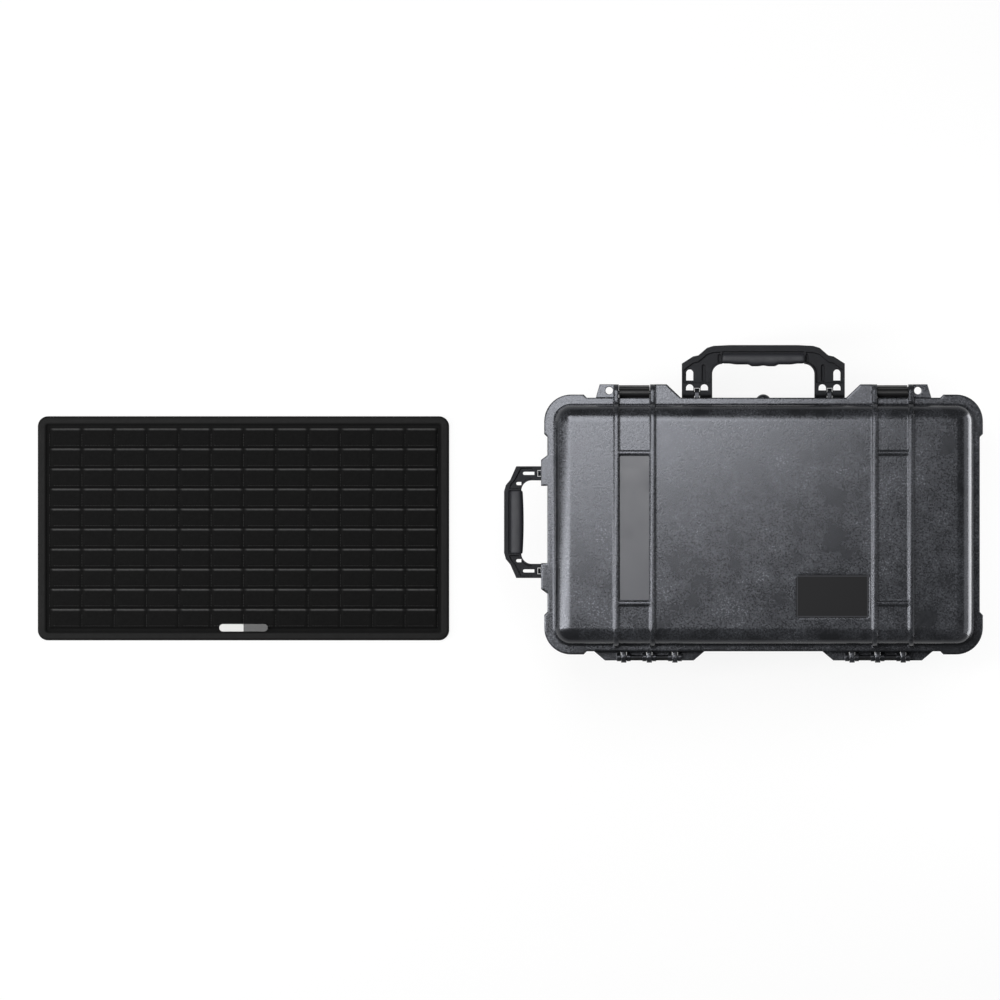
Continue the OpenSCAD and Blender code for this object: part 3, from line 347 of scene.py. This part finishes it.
def handle_grip(low, high, axis, inner, hollow_at):
    """A soft grip along X (axis 0) or Y (axis 1), with a shaped inner side.

    The section at u along the grip is a superellipse. Its half-depth on the inner side, which is +1 or -1 along
    the other axis, is less by hollow_at(u), and both half-sizes shrink to the ends over a short round.
    """
    middle, half = (low + high) / 2, (high - low) / 2
    depth_axis = 1 - axis
    u = GRIP_SHARES
    v = np.linspace(0, 2 * np.pi, GRIP_SIDES + 1)[:-1]
    c, z = (np.sign(f) * np.abs(f) ** (2 / GRIP_POWER) for f in (np.cos(v), np.sin(v)))
    run = (u * 2 - 1) * half[axis]
    from_end = np.clip(np.minimum(u, 1 - u) * 2 * half[axis] / GRIP_ROUND, 0, 1)
    taper = (1 - GRIP_SHRINK + GRIP_SHRINK * np.sqrt(1 - (1 - from_end) ** 2))[:, None]
    depth = half[depth_axis] * taper * c[None, :]
    depth = np.where(depth * inner > 0, depth - inner * hollow_at(run)[:, None] * np.abs(c)[None, :], depth)
    point = np.zeros((len(u), len(v), 3))
    point[..., axis] = middle[axis] + run[:, None]
    point[..., depth_axis] = middle[depth_axis] + depth
    point[..., 2] = middle[2] + half[2] * taper * z[None, :]
    faces = grid_faces(len(u), len(v), wrap=True).tolist()
    first = list(range(len(v)))
    last = [(len(u) - 1) * len(v) + i for i in first]
    faces += [first[::-1], last]
    # X and Y swap places for axis 0, which would turn the faces inwards
    if axis == 0:
        faces = [face[::-1] for face in faces]
    return point.reshape(-1, 3), faces


# Materials


def add_node(tree, kind, inputs=None, **settings):
    """Adds one shader node, sets its properties, and sets or links each of its named inputs."""
    node = tree.nodes.new(kind)
    for key, value in settings.items():
        setattr(node, key, value)
    for key, value in (inputs or {}).items():
        if isinstance(value, bpy.types.NodeSocket):
            tree.links.new(value, node.inputs[key])
        else:
            node.inputs[key].default_value = value
    return node


def new_material(name):
    """An empty material with its shader and the object coordinates that its patterns read."""
    material = bpy.data.materials.new(name)
    material.use_nodes = True
    tree = material.node_tree
    tree.nodes.clear()
    shader = add_node(tree, "ShaderNodeBsdfPrincipled")
    add_node(tree, "ShaderNodeOutputMaterial", {"Surface": shader.outputs["BSDF"]})
    place = add_node(tree, "ShaderNodeTexCoord").outputs["Object"]
    return material, tree, shader, place


def per(length):
    """Texture scale at which one feature is that long, in metres."""
    return 1.0 / length


def eroded_mould_plastic(name, colour, edge_radius, finish, dusty=1.0, roughness=0.19, specular=0.5):
    """Black polypropylene or nylon from a spark-eroded mould.

    To the eye it is a pebble grain that breaks up its sheen, with clouds of pale dust held in the grain. The
    real grain is too fine to show, so it is drawn coarser.
    """
    material, tree, shader, place = new_material(name)
    pebble = add_node(
        tree,
        "ShaderNodeTexNoise",
        {"Vector": place, "Scale": per(finish.grain), "Detail": 2.0, "Roughness": 0.6},
    )
    cloud = add_node(
        tree,
        "ShaderNodeTexNoise",
        {"Vector": place, "Scale": per(finish.mottle), "Detail": 5.0, "Roughness": 0.62},
    )
    patches = add_node(
        tree,
        "ShaderNodeMapRange",
        {
            "Value": cloud.outputs["Fac"],
            "From Min": 0.4,
            "From Max": 0.66,
            "To Min": 0.04 * dusty,
            "To Max": 0.62 * dusty,
        },
    )
    specks = add_node(
        tree,
        "ShaderNodeMapRange",
        {"Value": pebble.outputs["Fac"], "From Min": 0.4, "From Max": 0.66, "To Min": 0.2, "To Max": 1.0},
    )
    held = add_node(
        tree,
        "ShaderNodeMath",
        {0: patches.outputs["Result"], 1: specks.outputs["Result"]},
        operation="MULTIPLY",
    )
    tint = add_node(
        tree,
        "ShaderNodeMix",
        {"Factor": held.outputs["Value"], MIX_A: tuple(colour), MIX_B: tuple(finish.dust)},
        data_type="RGBA",
    )
    shine = add_node(
        tree,
        "ShaderNodeMapRange",
        {
            "Value": pebble.outputs["Fac"],
            "From Min": 0.35,
            "From Max": 0.65,
            "To Min": roughness - 0.04,
            "To Max": roughness + 0.04,
        },
    )
    # Dust dulls the sheen a little
    gloss = add_node(
        tree,
        "ShaderNodeMath",
        {0: held.outputs["Value"], 1: 0.1, 2: shine.outputs["Result"]},
        operation="MULTIPLY_ADD",
    )
    edge = add_node(tree, "ShaderNodeBevel", {"Radius": edge_radius}, samples=8)
    bump = add_node(
        tree,
        "ShaderNodeBump",
        {
            "Height": pebble.outputs["Fac"],
            "Normal": edge.outputs["Normal"],
            "Distance": finish.grain_depth,
            "Strength": 0.4,
        },
    )
    tree.links.new(tint.outputs[MIX_RESULT], shader.inputs["Base Color"])
    tree.links.new(gloss.outputs["Value"], shader.inputs["Roughness"])
    tree.links.new(bump.outputs["Normal"], shader.inputs["Normal"])
    # Polypropylene has 1.49 and nylon 1.53; the lid's highlights ask for a little more
    shader.inputs["IOR"].default_value = 1.55
    shader.inputs["Specular IOR Level"].default_value = specular
    shader.inputs["Specular Tint"].default_value = tuple(finish.gloss_tint)
    return material


def smooth_plastic(name, colour, roughness, marks, edge_radius, specular=0.5):
    """Plastic from a polished mould: an even colour, with rubbing marks of the given width that vary its gloss."""
    material, tree, shader, place = new_material(name)
    rubbing = add_node(
        tree, "ShaderNodeTexNoise", {"Vector": place, "Scale": per(marks), "Detail": 4.0, "Roughness": 0.7}
    )
    gloss = add_node(
        tree,
        "ShaderNodeMapRange",
        {
            "Value": rubbing.outputs["Fac"],
            "From Min": 0.3,
            "From Max": 0.7,
            "To Min": roughness - 0.06,
            "To Max": roughness + 0.08,
        },
    )
    edge = add_node(tree, "ShaderNodeBevel", {"Radius": edge_radius}, samples=4)
    shader.inputs["Base Color"].default_value = tuple(colour)
    shader.inputs["Specular IOR Level"].default_value = specular
    tree.links.new(gloss.outputs["Result"], shader.inputs["Roughness"])
    tree.links.new(edge.outputs["Normal"], shader.inputs["Normal"])
    return material


def stippled_skin(name, colour, grain, roughness=0.62, specular=0.5):
    """Moulded rubber or pressed felt: matt, with worn patches and a stipple drawn coarse enough to show."""
    material, tree, shader, place = new_material(name)
    stipple = add_node(
        tree, "ShaderNodeTexVoronoi", {"Vector": place, "Scale": per(grain)}, feature="SMOOTH_F1"
    )
    bump = add_node(
        tree,
        "ShaderNodeBump",
        {"Height": stipple.outputs["Distance"], "Distance": 0.2 * MM, "Strength": 0.5},
    )
    worn = add_node(tree, "ShaderNodeTexNoise", {"Vector": place, "Scale": per(20 * MM), "Detail": 3.0})
    gloss = add_node(
        tree,
        "ShaderNodeMapRange",
        {
            "Value": worn.outputs["Fac"],
            "From Min": 0.3,
            "From Max": 0.7,
            "To Min": roughness - 0.1,
            "To Max": roughness + 0.08,
        },
    )
    shader.inputs["Base Color"].default_value = tuple(colour)
    shader.inputs["Specular IOR Level"].default_value = specular
    tree.links.new(gloss.outputs["Result"], shader.inputs["Roughness"])
    tree.links.new(bump.outputs["Normal"], shader.inputs["Normal"])
    return material


def drawn_metal(name, colour, roughness, along_x):
    """Metal drawn or ground along X: a glint broken by streaks, whose scale along X is a small part of the rest.

    The streaks are 0.8 mm wide, because real ones are too fine to show.
    """
    material, tree, shader, place = new_material(name)
    along = add_node(tree, "ShaderNodeMapping", {"Vector": place, "Scale": (along_x, 1.0, 1.0)})
    streaks = add_node(
        tree,
        "ShaderNodeTexNoise",
        {"Vector": along.outputs["Vector"], "Scale": per(0.8 * MM), "Detail": 3.0},
    )
    gloss = add_node(
        tree,
        "ShaderNodeMapRange",
        {"Value": streaks.outputs["Fac"], "To Min": roughness - 0.08, "To Max": roughness + 0.12},
    )
    shader.inputs["Base Color"].default_value = tuple(colour)
    shader.inputs["Metallic"].default_value = 1.0
    tree.links.new(gloss.outputs["Result"], shader.inputs["Roughness"])
    return material


def woven_nylon(name, finish):
    """Black nylon webbing: crossed yarns with nearly no gloss, lint, and a painted highlight along each tile's
    upper edge, held in an attribute.

    Real yarns are too fine to show, so they are drawn coarser.
    """
    material, tree, shader, place = new_material(name)
    scale = per(finish.yarn) * WAVE_LENGTH
    warp, weft = (
        add_node(
            tree,
            "ShaderNodeTexWave",
            {"Vector": place, "Scale": scale, "Distortion": 0.4},
            bands_direction=direction,
        )
        for direction in ("X", "Y")
    )
    weave = add_node(
        tree, "ShaderNodeMath", {0: warp.outputs["Fac"], 1: weft.outputs["Fac"]}, operation="MULTIPLY"
    )
    lint = add_node(
        tree, "ShaderNodeTexNoise", {"Vector": place, "Scale": per(3 * MM), "Detail": 4.0, "Roughness": 0.7}
    )
    painted_highlight = add_node(tree, "ShaderNodeAttribute", attribute_name="painted_highlight")
    shade = add_node(
        tree,
        "ShaderNodeMapRange",
        {"Value": lint.outputs["Fac"], "From Min": 0.3, "From Max": 0.7, "To Min": 0.72, "To Max": 1.25},
    )
    # Painted highlight: the cloth turns paler along each tile's upper edge
    edge = add_node(
        tree,
        "ShaderNodeMix",
        {"Factor": painted_highlight.outputs["Fac"], MIX_A: tuple(finish.cloth), MIX_B: tuple(finish.painted_highlight)},
        data_type="RGBA",
    )
    colour = add_node(
        tree,
        "ShaderNodeVectorMath",
        {0: edge.outputs[MIX_RESULT], "Scale": shade.outputs["Result"]},
        operation="SCALE",
    )
    bump = add_node(
        tree, "ShaderNodeBump", {"Height": weave.outputs["Value"], "Distance": 0.2 * MM, "Strength": 0.5}
    )
    tree.links.new(colour.outputs["Vector"], shader.inputs["Base Color"])
    tree.links.new(bump.outputs["Normal"], shader.inputs["Normal"])
    shader.inputs["Roughness"].default_value = 0.85
    shader.inputs["Specular IOR Level"].default_value = 0.08
    shader.inputs["Sheen Weight"].default_value = 0.01
    return material


def badge_plastic(name, finish, middle):
    """Bare badge of satin acrylic: its left half is pale and its right half dark, split at the middle."""
    material, tree, shader, place = new_material(name)
    across = add_node(tree, "ShaderNodeSeparateXYZ", {"Vector": place})
    right = add_node(
        tree, "ShaderNodeMath", {0: across.outputs["X"], 1: float(middle[0])}, operation="GREATER_THAN"
    )
    halves = add_node(
        tree,
        "ShaderNodeMix",
        {"Factor": right.outputs["Value"], MIX_A: tuple(finish.badge), MIX_B: tuple(finish.badge_dark)},
        data_type="RGBA",
    )
    tree.links.new(halves.outputs[MIX_RESULT], shader.inputs["Base Color"])
    shader.inputs["Roughness"].default_value = 0.35
    return material


def bordered_film(name, finish, low, high):
    """Bare polyester film: a flat, matt, dark patch with a thin paler line just inside its edge."""
    material, tree, shader, place = new_material(name)
    middle, half = (low + high) / 2, (high - low) / 2
    centred = add_node(tree, "ShaderNodeMapping", {"Vector": place, "Location": (-middle).tolist()})
    apart = add_node(tree, "ShaderNodeSeparateXYZ", {"Vector": centred.outputs["Vector"]})
    inside = []
    for axis, reach in zip("XY", half.tolist()):
        off = add_node(tree, "ShaderNodeMath", {0: apart.outputs[axis]}, operation="ABSOLUTE")
        inside.append(
            add_node(tree, "ShaderNodeMath", {0: reach, 1: off.outputs["Value"]}, operation="SUBTRACT")
        )
    depth = add_node(
        tree,
        "ShaderNodeMath",
        {0: inside[0].outputs["Value"], 1: inside[1].outputs["Value"]},
        operation="MINIMUM",
    )
    line = add_node(
        tree,
        "ShaderNodeMath",
        {0: depth.outputs["Value"], 1: LABEL_LINE_IN, 2: LABEL_LINE_HALF},
        operation="COMPARE",
    )
    tint = add_node(
        tree,
        "ShaderNodeMix",
        {"Factor": line.outputs["Value"], MIX_A: tuple(finish.label), MIX_B: tuple(finish.label_line)},
        data_type="RGBA",
    )
    tree.links.new(tint.outputs[MIX_RESULT], shader.inputs["Base Color"])
    shader.inputs["Roughness"].default_value = 0.45
    shader.inputs["Specular IOR Level"].default_value = 0.15
    return material


def wear(material, *names):
    """Gives CAD nodes a material in place of the one that they came with."""
    for name in names:
        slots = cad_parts[name].data.materials
        slots.clear()
        slots.append(material)


# Operators


class CASE_OT_stage(bpy.types.Operator):
    bl_idname = "equipment_case.stage"
    bl_label = "Stage and camera"

    def execute(self, context):
        stage = context.scene.case_stage
        self.add_camera(context.scene, stage.lens)
        self.add_floor(context.scene, stage.floor)
        self.add_world(context.scene)
        for lamp in LAMPS:
            self.add_lamp(context.scene, *lamp)
        context.scene.view_settings.view_transform = "Standard"
        return {"FINISHED"}

    def add_camera(self, scene, lens):
        """Looks straight down, so that one pixel of the photograph is PIXEL wide at the case's parting plane."""
        middle = node_middle("lid_seal")
        data = bpy.data.cameras.new("photo_camera")
        data.lens = lens
        data.clip_end = 200
        distance = PHOTO_WIDTH_PX * PIXEL * lens / data.sensor_width
        camera = bpy.data.objects.new("photo_camera", data)
        camera.location = (
            middle[0] + (PHOTO_MIDDLE_PX[0] - CASE_MIDDLE_PX[0]) * PIXEL,
            middle[1] + (CASE_MIDDLE_PX[1] - PHOTO_MIDDLE_PX[1]) * PIXEL,
            middle[2] + distance,
        )
        scene.collection.objects.link(camera)
        scene.camera = camera

    def add_floor(self, scene, colour):
        far = FLOOR_REACH
        mesh = bpy.data.meshes.new("floor")
        mesh.from_pydata([(-far, -far, 0), (far, -far, 0), (far, far, 0), (-far, far, 0)], [], [(0, 1, 2, 3)])
        floor = bpy.data.objects.new("floor", mesh)
        scene.collection.objects.link(floor)
        material = bpy.data.materials.new("floor_paper")
        material.use_nodes = True
        tree = material.node_tree
        tree.nodes.clear()
        glow = add_node(tree, "ShaderNodeEmission", {"Strength": 1.0})
        rays = add_node(tree, "ShaderNodeLightPath")
        seen = add_node(
            tree,
            "ShaderNodeMath",
            {0: rays.outputs["Is Camera Ray"], 1: rays.outputs["Is Transmission Ray"]},
            operation="MAXIMUM",
        )
        sheet = add_node(
            tree,
            "ShaderNodeMix",
            {"Factor": seen.outputs["Value"], MIX_A: tuple(colour), MIX_B: hex_colour("#ffffff")},
            data_type="RGBA",
        )
        paper = add_node(tree, "ShaderNodeBsdfDiffuse", {"Color": sheet.outputs[MIX_RESULT]})
        shown = add_node(
            tree, "ShaderNodeMath", {0: seen.outputs["Value"], 1: FLOOR_WHITE}, operation="MULTIPLY"
        )
        whiteness = add_node(
            tree,
            "ShaderNodeMath",
            {0: rays.outputs["Is Glossy Ray"], 1: FLOOR_GLOSS, 2: shown.outputs["Value"]},
            operation="MULTIPLY_ADD",
        )
        white = add_node(
            tree,
            "ShaderNodeMixShader",
            {"Fac": whiteness.outputs["Value"], 1: paper.outputs["BSDF"], 2: glow.outputs["Emission"]},
        )
        add_node(tree, "ShaderNodeOutputMaterial", {"Surface": white.outputs["Shader"]})
        mesh.materials.append(material)

    def add_world(self, scene):
        """A dim even room for light, and white where the camera looks past the floor."""
        world = bpy.data.worlds.new("studio")
        world.use_nodes = True
        tree = world.node_tree
        tree.nodes.clear()
        rays = add_node(tree, "ShaderNodeLightPath")
        seen = add_node(
            tree,
            "ShaderNodeMath",
            {0: rays.outputs["Is Camera Ray"], 1: rays.outputs["Is Transmission Ray"]},
            operation="MAXIMUM",
        )
        room = add_node(
            tree, "ShaderNodeMapRange", {"Value": seen.outputs["Value"], "To Min": ROOM_LIGHT, "To Max": 1.0}
        )
        level = add_node(
            tree,
            "ShaderNodeMath",
            {0: rays.outputs["Is Glossy Ray"], 1: ROOM_GLOSS, 2: room.outputs["Result"]},
            operation="MULTIPLY_ADD",
        )
        sky = add_node(tree, "ShaderNodeBackground", {"Strength": level.outputs["Value"]})
        add_node(tree, "ShaderNodeOutputWorld", {"Surface": sky.outputs["Background"]})
        scene.world = world

    def add_lamp(self, scene, name, place, aim, size, watts):
        """A rectangular lamp that faces a point and that the camera doesn't see."""
        data = bpy.data.lights.new(name, "AREA")
        data.shape = "RECTANGLE"
        data.size, data.size_y = size
        data.energy = watts
        lamp = bpy.data.objects.new(name, data)
        lamp.location = place
        towards = Vector(aim) - Vector(place)
        lamp.rotation_euler = towards.to_track_quat("-Z", "Y").to_euler()
        lamp.visible_camera = False
        scene.collection.objects.link(lamp)


class CASE_OT_finish_case(bpy.types.Operator):
    """Give the case's CAD pieces their moulded, rubber and metal finishes"""

    bl_idname = "equipment_case.finish_case"
    bl_label = "Case finishes"

    def execute(self, context):
        finish = context.scene.case_finish
        self.finish_mouldings(finish)
        self.finish_fittings(finish)
        self.finish_metal(finish)
        return {"FINISHED"}

    def finish_mouldings(self, finish):
        """Shells and handles."""
        # Polypropylene: black with a soft sheen, greyed by dust, and with round ribs on the lid
        lid = eroded_mould_plastic("polypropylene_lid", finish.shell, finish.rib_edge, finish)
        wear(lid, "lid_shell")
        ears = eroded_mould_plastic("polypropylene_ears", finish.shell, finish.edge, finish)
        wear(ears, "lid_padlock_ears")
        # The same on the base as a darker copy, duller and with less pale dust: painted shade over the base, for
        # its hinge shelves that lie in shade
        base = eroded_mould_plastic(
            "polypropylene_base_shaded", finish.shell, finish.edge, finish, dusty=0.6, roughness=0.24, specular=0.3
        )
        wear(base, "base_shell", "base_padlock_ears", "valve_body")
        # Moulded nylon: a flat black with hardly any dust and few highlights
        handle = eroded_mould_plastic(
            "nylon_handle", finish.handle, finish.edge, finish, dusty=0.1, roughness=0.45, specular=0.12
        )
        wear(handle, "front_handle_frame", "side_handle_frame", "rail_strips")

    def finish_fittings(self, finish):
        """Levers, plates, seal and tyres."""
        # Nylon from a polished mould: black levers with soft highlights along their edges
        lever = smooth_plastic("lever_nylon", finish.lever, 0.4, 4 * MM, finish.small_edge, specular=0.3)
        wear(lever, "latch_lever_left", "latch_lever_right")
        # The same nylon in plain dark grey, satin where it shows at all
        fitting = smooth_plastic("fitting_nylon", finish.fitting, 0.45, 4 * MM, finish.small_edge)
        wear(fitting, "valve_nut", "tube_guides", "tube_end_blocks", "wheel_hub_front", "wheel_hub_back")
        # ABS: smoother than the lid round it, so it shows as one even grey band
        plate = smooth_plastic("plate_abs", finish.plate, 0.33, 30 * MM, finish.small_edge)
        wear(plate, "lid_plate")
        wear(bordered_film("label_film", finish, *node_box("label_plate")), "label_plate")
        # Thermoplastic rubber: a soft, matt black that takes the light evenly
        rubber = stippled_skin("seal_rubber", finish.rubber, 1.2 * MM)
        wear(rubber, "lid_seal", "pull_grip")
        # Tyre rubber: duller still, and rougher
        tyre = stippled_skin("tyre_rubber", finish.tyre, 1.6 * MM, roughness=0.7)
        wear(tyre, "wheel_tyre_front", "wheel_tyre_back")

    def finish_metal(self, finish):
        """Screws, axles, pins and tubes."""
        # Ground steel: bright, with a streaked glint
        steel = drawn_metal("ground_steel", finish.steel, 0.32, 0.04)
        wear(steel, "rail_screws", "wheel_axles", "wheel_bush_front", "wheel_bush_back")
        # Blackened steel: dark, with a faint glint along each pin
        blackened = drawn_metal("blackened_steel", finish.blackened, 0.42, 0.04)
        wear(blackened, "hinge_pin_left", "hinge_pin_right", "latch_pin_left", "latch_pin_right")
        wear(blackened, "front_handle_pins", "side_handle_pins")
        # Drawn and anodised aluminium: pale satin tubes with fine streaks along them
        tube = drawn_metal("anodised_aluminium", finish.tube, 0.3, 0.03)
        wear(tube, "pull_tube_front", "pull_tube_back")


class CASE_OT_finish_panel(bpy.types.Operator):
    """Give the panel's rim, board and bare badge their finishes"""

    bl_idname = "equipment_case.finish_panel"
    bl_label = "Panel finishes"

    def execute(self, context):
        finish = context.scene.panel_finish
        # Moulded polyurethane: a matt black rim with nearly no highlight
        rim = smooth_plastic("rim_polyurethane", finish.rim, 0.6, 6 * MM, finish.small_edge, specular=0.1)
        wear(rim, "panel_rim")
        # Pressed felt: it takes up nearly all light, so the board reads as dark gaps round the rows
        board = stippled_skin("board_felt", finish.board, 1.6 * MM, roughness=0.85, specular=0.06)
        wear(board, "panel_board")
        wear(badge_plastic("badge_acrylic", finish, node_middle("panel_badge")), "panel_badge")
        return {"FINISHED"}


class CASE_OT_webbing(bpy.types.Operator):
    """Sew the webbing rows, each a strip of padded tiles whose bevelled upper edge carries a painted highlight"""

    bl_idname = "equipment_case.webbing"
    bl_label = "Webbing rows"

    def execute(self, context):
        cloth = woven_nylon("webbing_nylon", context.scene.panel_finish)
        for name in ROW_NAMES:
            vertices, faces, painted_highlight = webbing_row(*node_box(name))
            sewn_name = name.replace("webbing_row", "sewn_row")
            row = make_piece(sewn_name, vertices, faces, cloth, "grid_panel")
            # The painted highlight rides on each row as a point attribute
            row.data.attributes.new("painted_highlight", "FLOAT", "POINT").data.foreach_set("value", painted_highlight)
            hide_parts(name)
        return {"FINISHED"}


class CASE_OT_stitching(bpy.types.Operator):
    """Lay the thread that holds the rows: one seam between tiles and one along each lower edge"""

    bl_idname = "equipment_case.stitching"
    bl_label = "Stitching"

    def execute(self, context):
        finish = context.scene.panel_finish
        # Polyester thread: barely paler than the cloth, so that it shows as fine dots along the seams
        thread = smooth_plastic("thread_polyester", finish.thread, 0.55, 3 * MM, finish.small_edge)
        pitch = finish.stitch + finish.stitch_gap
        seams = np.linspace(ROW_LOW[0], ROW_HIGH[0], TILES + 1)
        # A fifth of the thread's width lifts the ends of the upright stitches out of the valleys between tiles
        valley_z = ROW_LOW[2] + ROW_EDGE + finish.thread_width / 5
        upright = []
        level = []
        for name in ROW_NAMES:
            low, high = node_box(name)
            ys = np.arange(low[1] + pitch, high[1] - 2 * pitch, pitch)
            upright.append(np.stack(np.broadcast_arrays(seams[:, None], ys[None, :], valley_z), -1).reshape(-1, 3))
            # The lower seam lies on the tiles, just inside their bevel, and leaves out the valleys
            xs = np.arange(low[0] + pitch, high[0] - pitch, pitch)
            clear = np.abs((xs - ROW_LOW[0] + pitch) % TILE_PITCH - pitch) > 1.2 * pitch
            seam_y = low[1] + BEVEL_LOW + SEAM_INSET
            level.append(np.stack(np.broadcast_arrays(xs[clear], seam_y, high[2] + SEAM_PROUD), -1))
        for name, spots, along in (("seam_stitches", upright, 1), ("edge_stitches", level, 0)):
            vertices, faces = stitches(np.concatenate(spots), along, finish.stitch, finish.thread_width)
            make_piece(name, vertices, faces, thread, "grid_panel")
        return {"FINISHED"}


class CASE_OT_grips(bpy.types.Operator):
    """Mould the soft grips of the two folding handles, each with a shaped inner side"""

    bl_idname = "equipment_case.grips"
    bl_label = "Handle grips"

    def execute(self, context):
        # Thermoplastic rubber moulded over the frame: a soft, matt black
        rubber = stippled_skin("grip_rubber", context.scene.case_finish.rubber, 1.4 * MM)
        for side, axis, inner, hollow_at in (("front", 0, -1, stepped_hollow), ("side", 1, 1, bowed_hollow)):
            vertices, faces = handle_grip(*node_box(f"{side}_handle_grip"), axis, inner, hollow_at)
            grip = make_piece(f"{side}_soft_grip", vertices, faces, rubber, f"{side}_handle")
            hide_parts(f"{side}_handle_grip")
        return {"FINISHED"}


class CASE_OT_shade_strips(bpy.types.Operator):
    """Lay a dark strip on the lid behind each latch, where the lever's barrel turns close to the flange, as
    painted shade in the gap there
    """

    bl_idname = "equipment_case.wear_strips"
    # Strips of painted shade under the latch levers
    bl_label = "Latch wear strips"

    def execute(self, context):
        # The grips' rubber, as a plain black strip that stands in for the shade under the lever
        rubber = stippled_skin("shade_strip_rubber", context.scene.case_finish.rubber, 1.4 * MM)
        for side in ("left", "right"):
            low, high = node_box(f"latch_lever_{side}")
            # Lowest height of the barrel, which is round about its pin and reaches the lever's top
            barrel = 2 * node_middle(f"latch_pin_{side}")[2] - high[2]
            strip_low = np.array([low[0], low[1] - STRIP_BACK, barrel - STRIP_BOTTOM])
            strip_high = np.array([high[0], low[1] + STRIP_FRONT, barrel - STRIP_TOP])
            vertices, faces = handle_grip(strip_low, strip_high, 0, 1, np.zeros_like)
            make_piece(f"latch_shade_strip_{side}", vertices, faces, rubber, "lid")
        return {"FINISHED"}


class CASE_PT_sidebar(bpy.types.Panel):
    """Lists the steps that finish the case and the panel"""

    bl_idname = "CASE_PT_sidebar"
    bl_label = "Equipment Case"
    bl_space_type = "VIEW_3D"
    bl_region_type = "UI"
    bl_category = "Equipment Case"

    def draw(self, context):
        for step in STEPS:
            self.layout.operator(step.bl_idname)
        for group in (context.scene.case_finish, context.scene.panel_finish, context.scene.case_stage):
            box = self.layout.box()
            for name in group.bl_rna.properties.keys():
                if name not in ("rna_type", "name"):
                    box.prop(group, name)


GROUPS = (CaseFinish, PanelFinish, StageSettings)
STEPS = (
    CASE_OT_stage,
    CASE_OT_finish_case,
    CASE_OT_grips,
    CASE_OT_shade_strips,
    CASE_OT_finish_panel,
    CASE_OT_webbing,
    CASE_OT_stitching,
)


def register():
    for cls in (*GROUPS, *STEPS, CASE_PT_sidebar):
        bpy.utils.register_class(cls)
    bpy.types.Scene.case_finish = bpy.props.PointerProperty(type=CaseFinish)
    bpy.types.Scene.panel_finish = bpy.props.PointerProperty(type=PanelFinish)
    bpy.types.Scene.case_stage = bpy.props.PointerProperty(type=StageSettings)


def unregister():
    del bpy.types.Scene.case_finish
    del bpy.types.Scene.panel_finish
    del bpy.types.Scene.case_stage
    for cls in reversed((*GROUPS, *STEPS, CASE_PT_sidebar)):
        bpy.utils.unregister_class(cls)


def main():
    register()
    bpy.ops.equipment_case.stage()
    bpy.ops.equipment_case.finish_case()
    bpy.ops.equipment_case.grips()
    bpy.ops.equipment_case.wear_strips()
    bpy.ops.equipment_case.finish_panel()
    bpy.ops.equipment_case.webbing()
    bpy.ops.equipment_case.stitching()


if __name__ == "__main__":
    main()
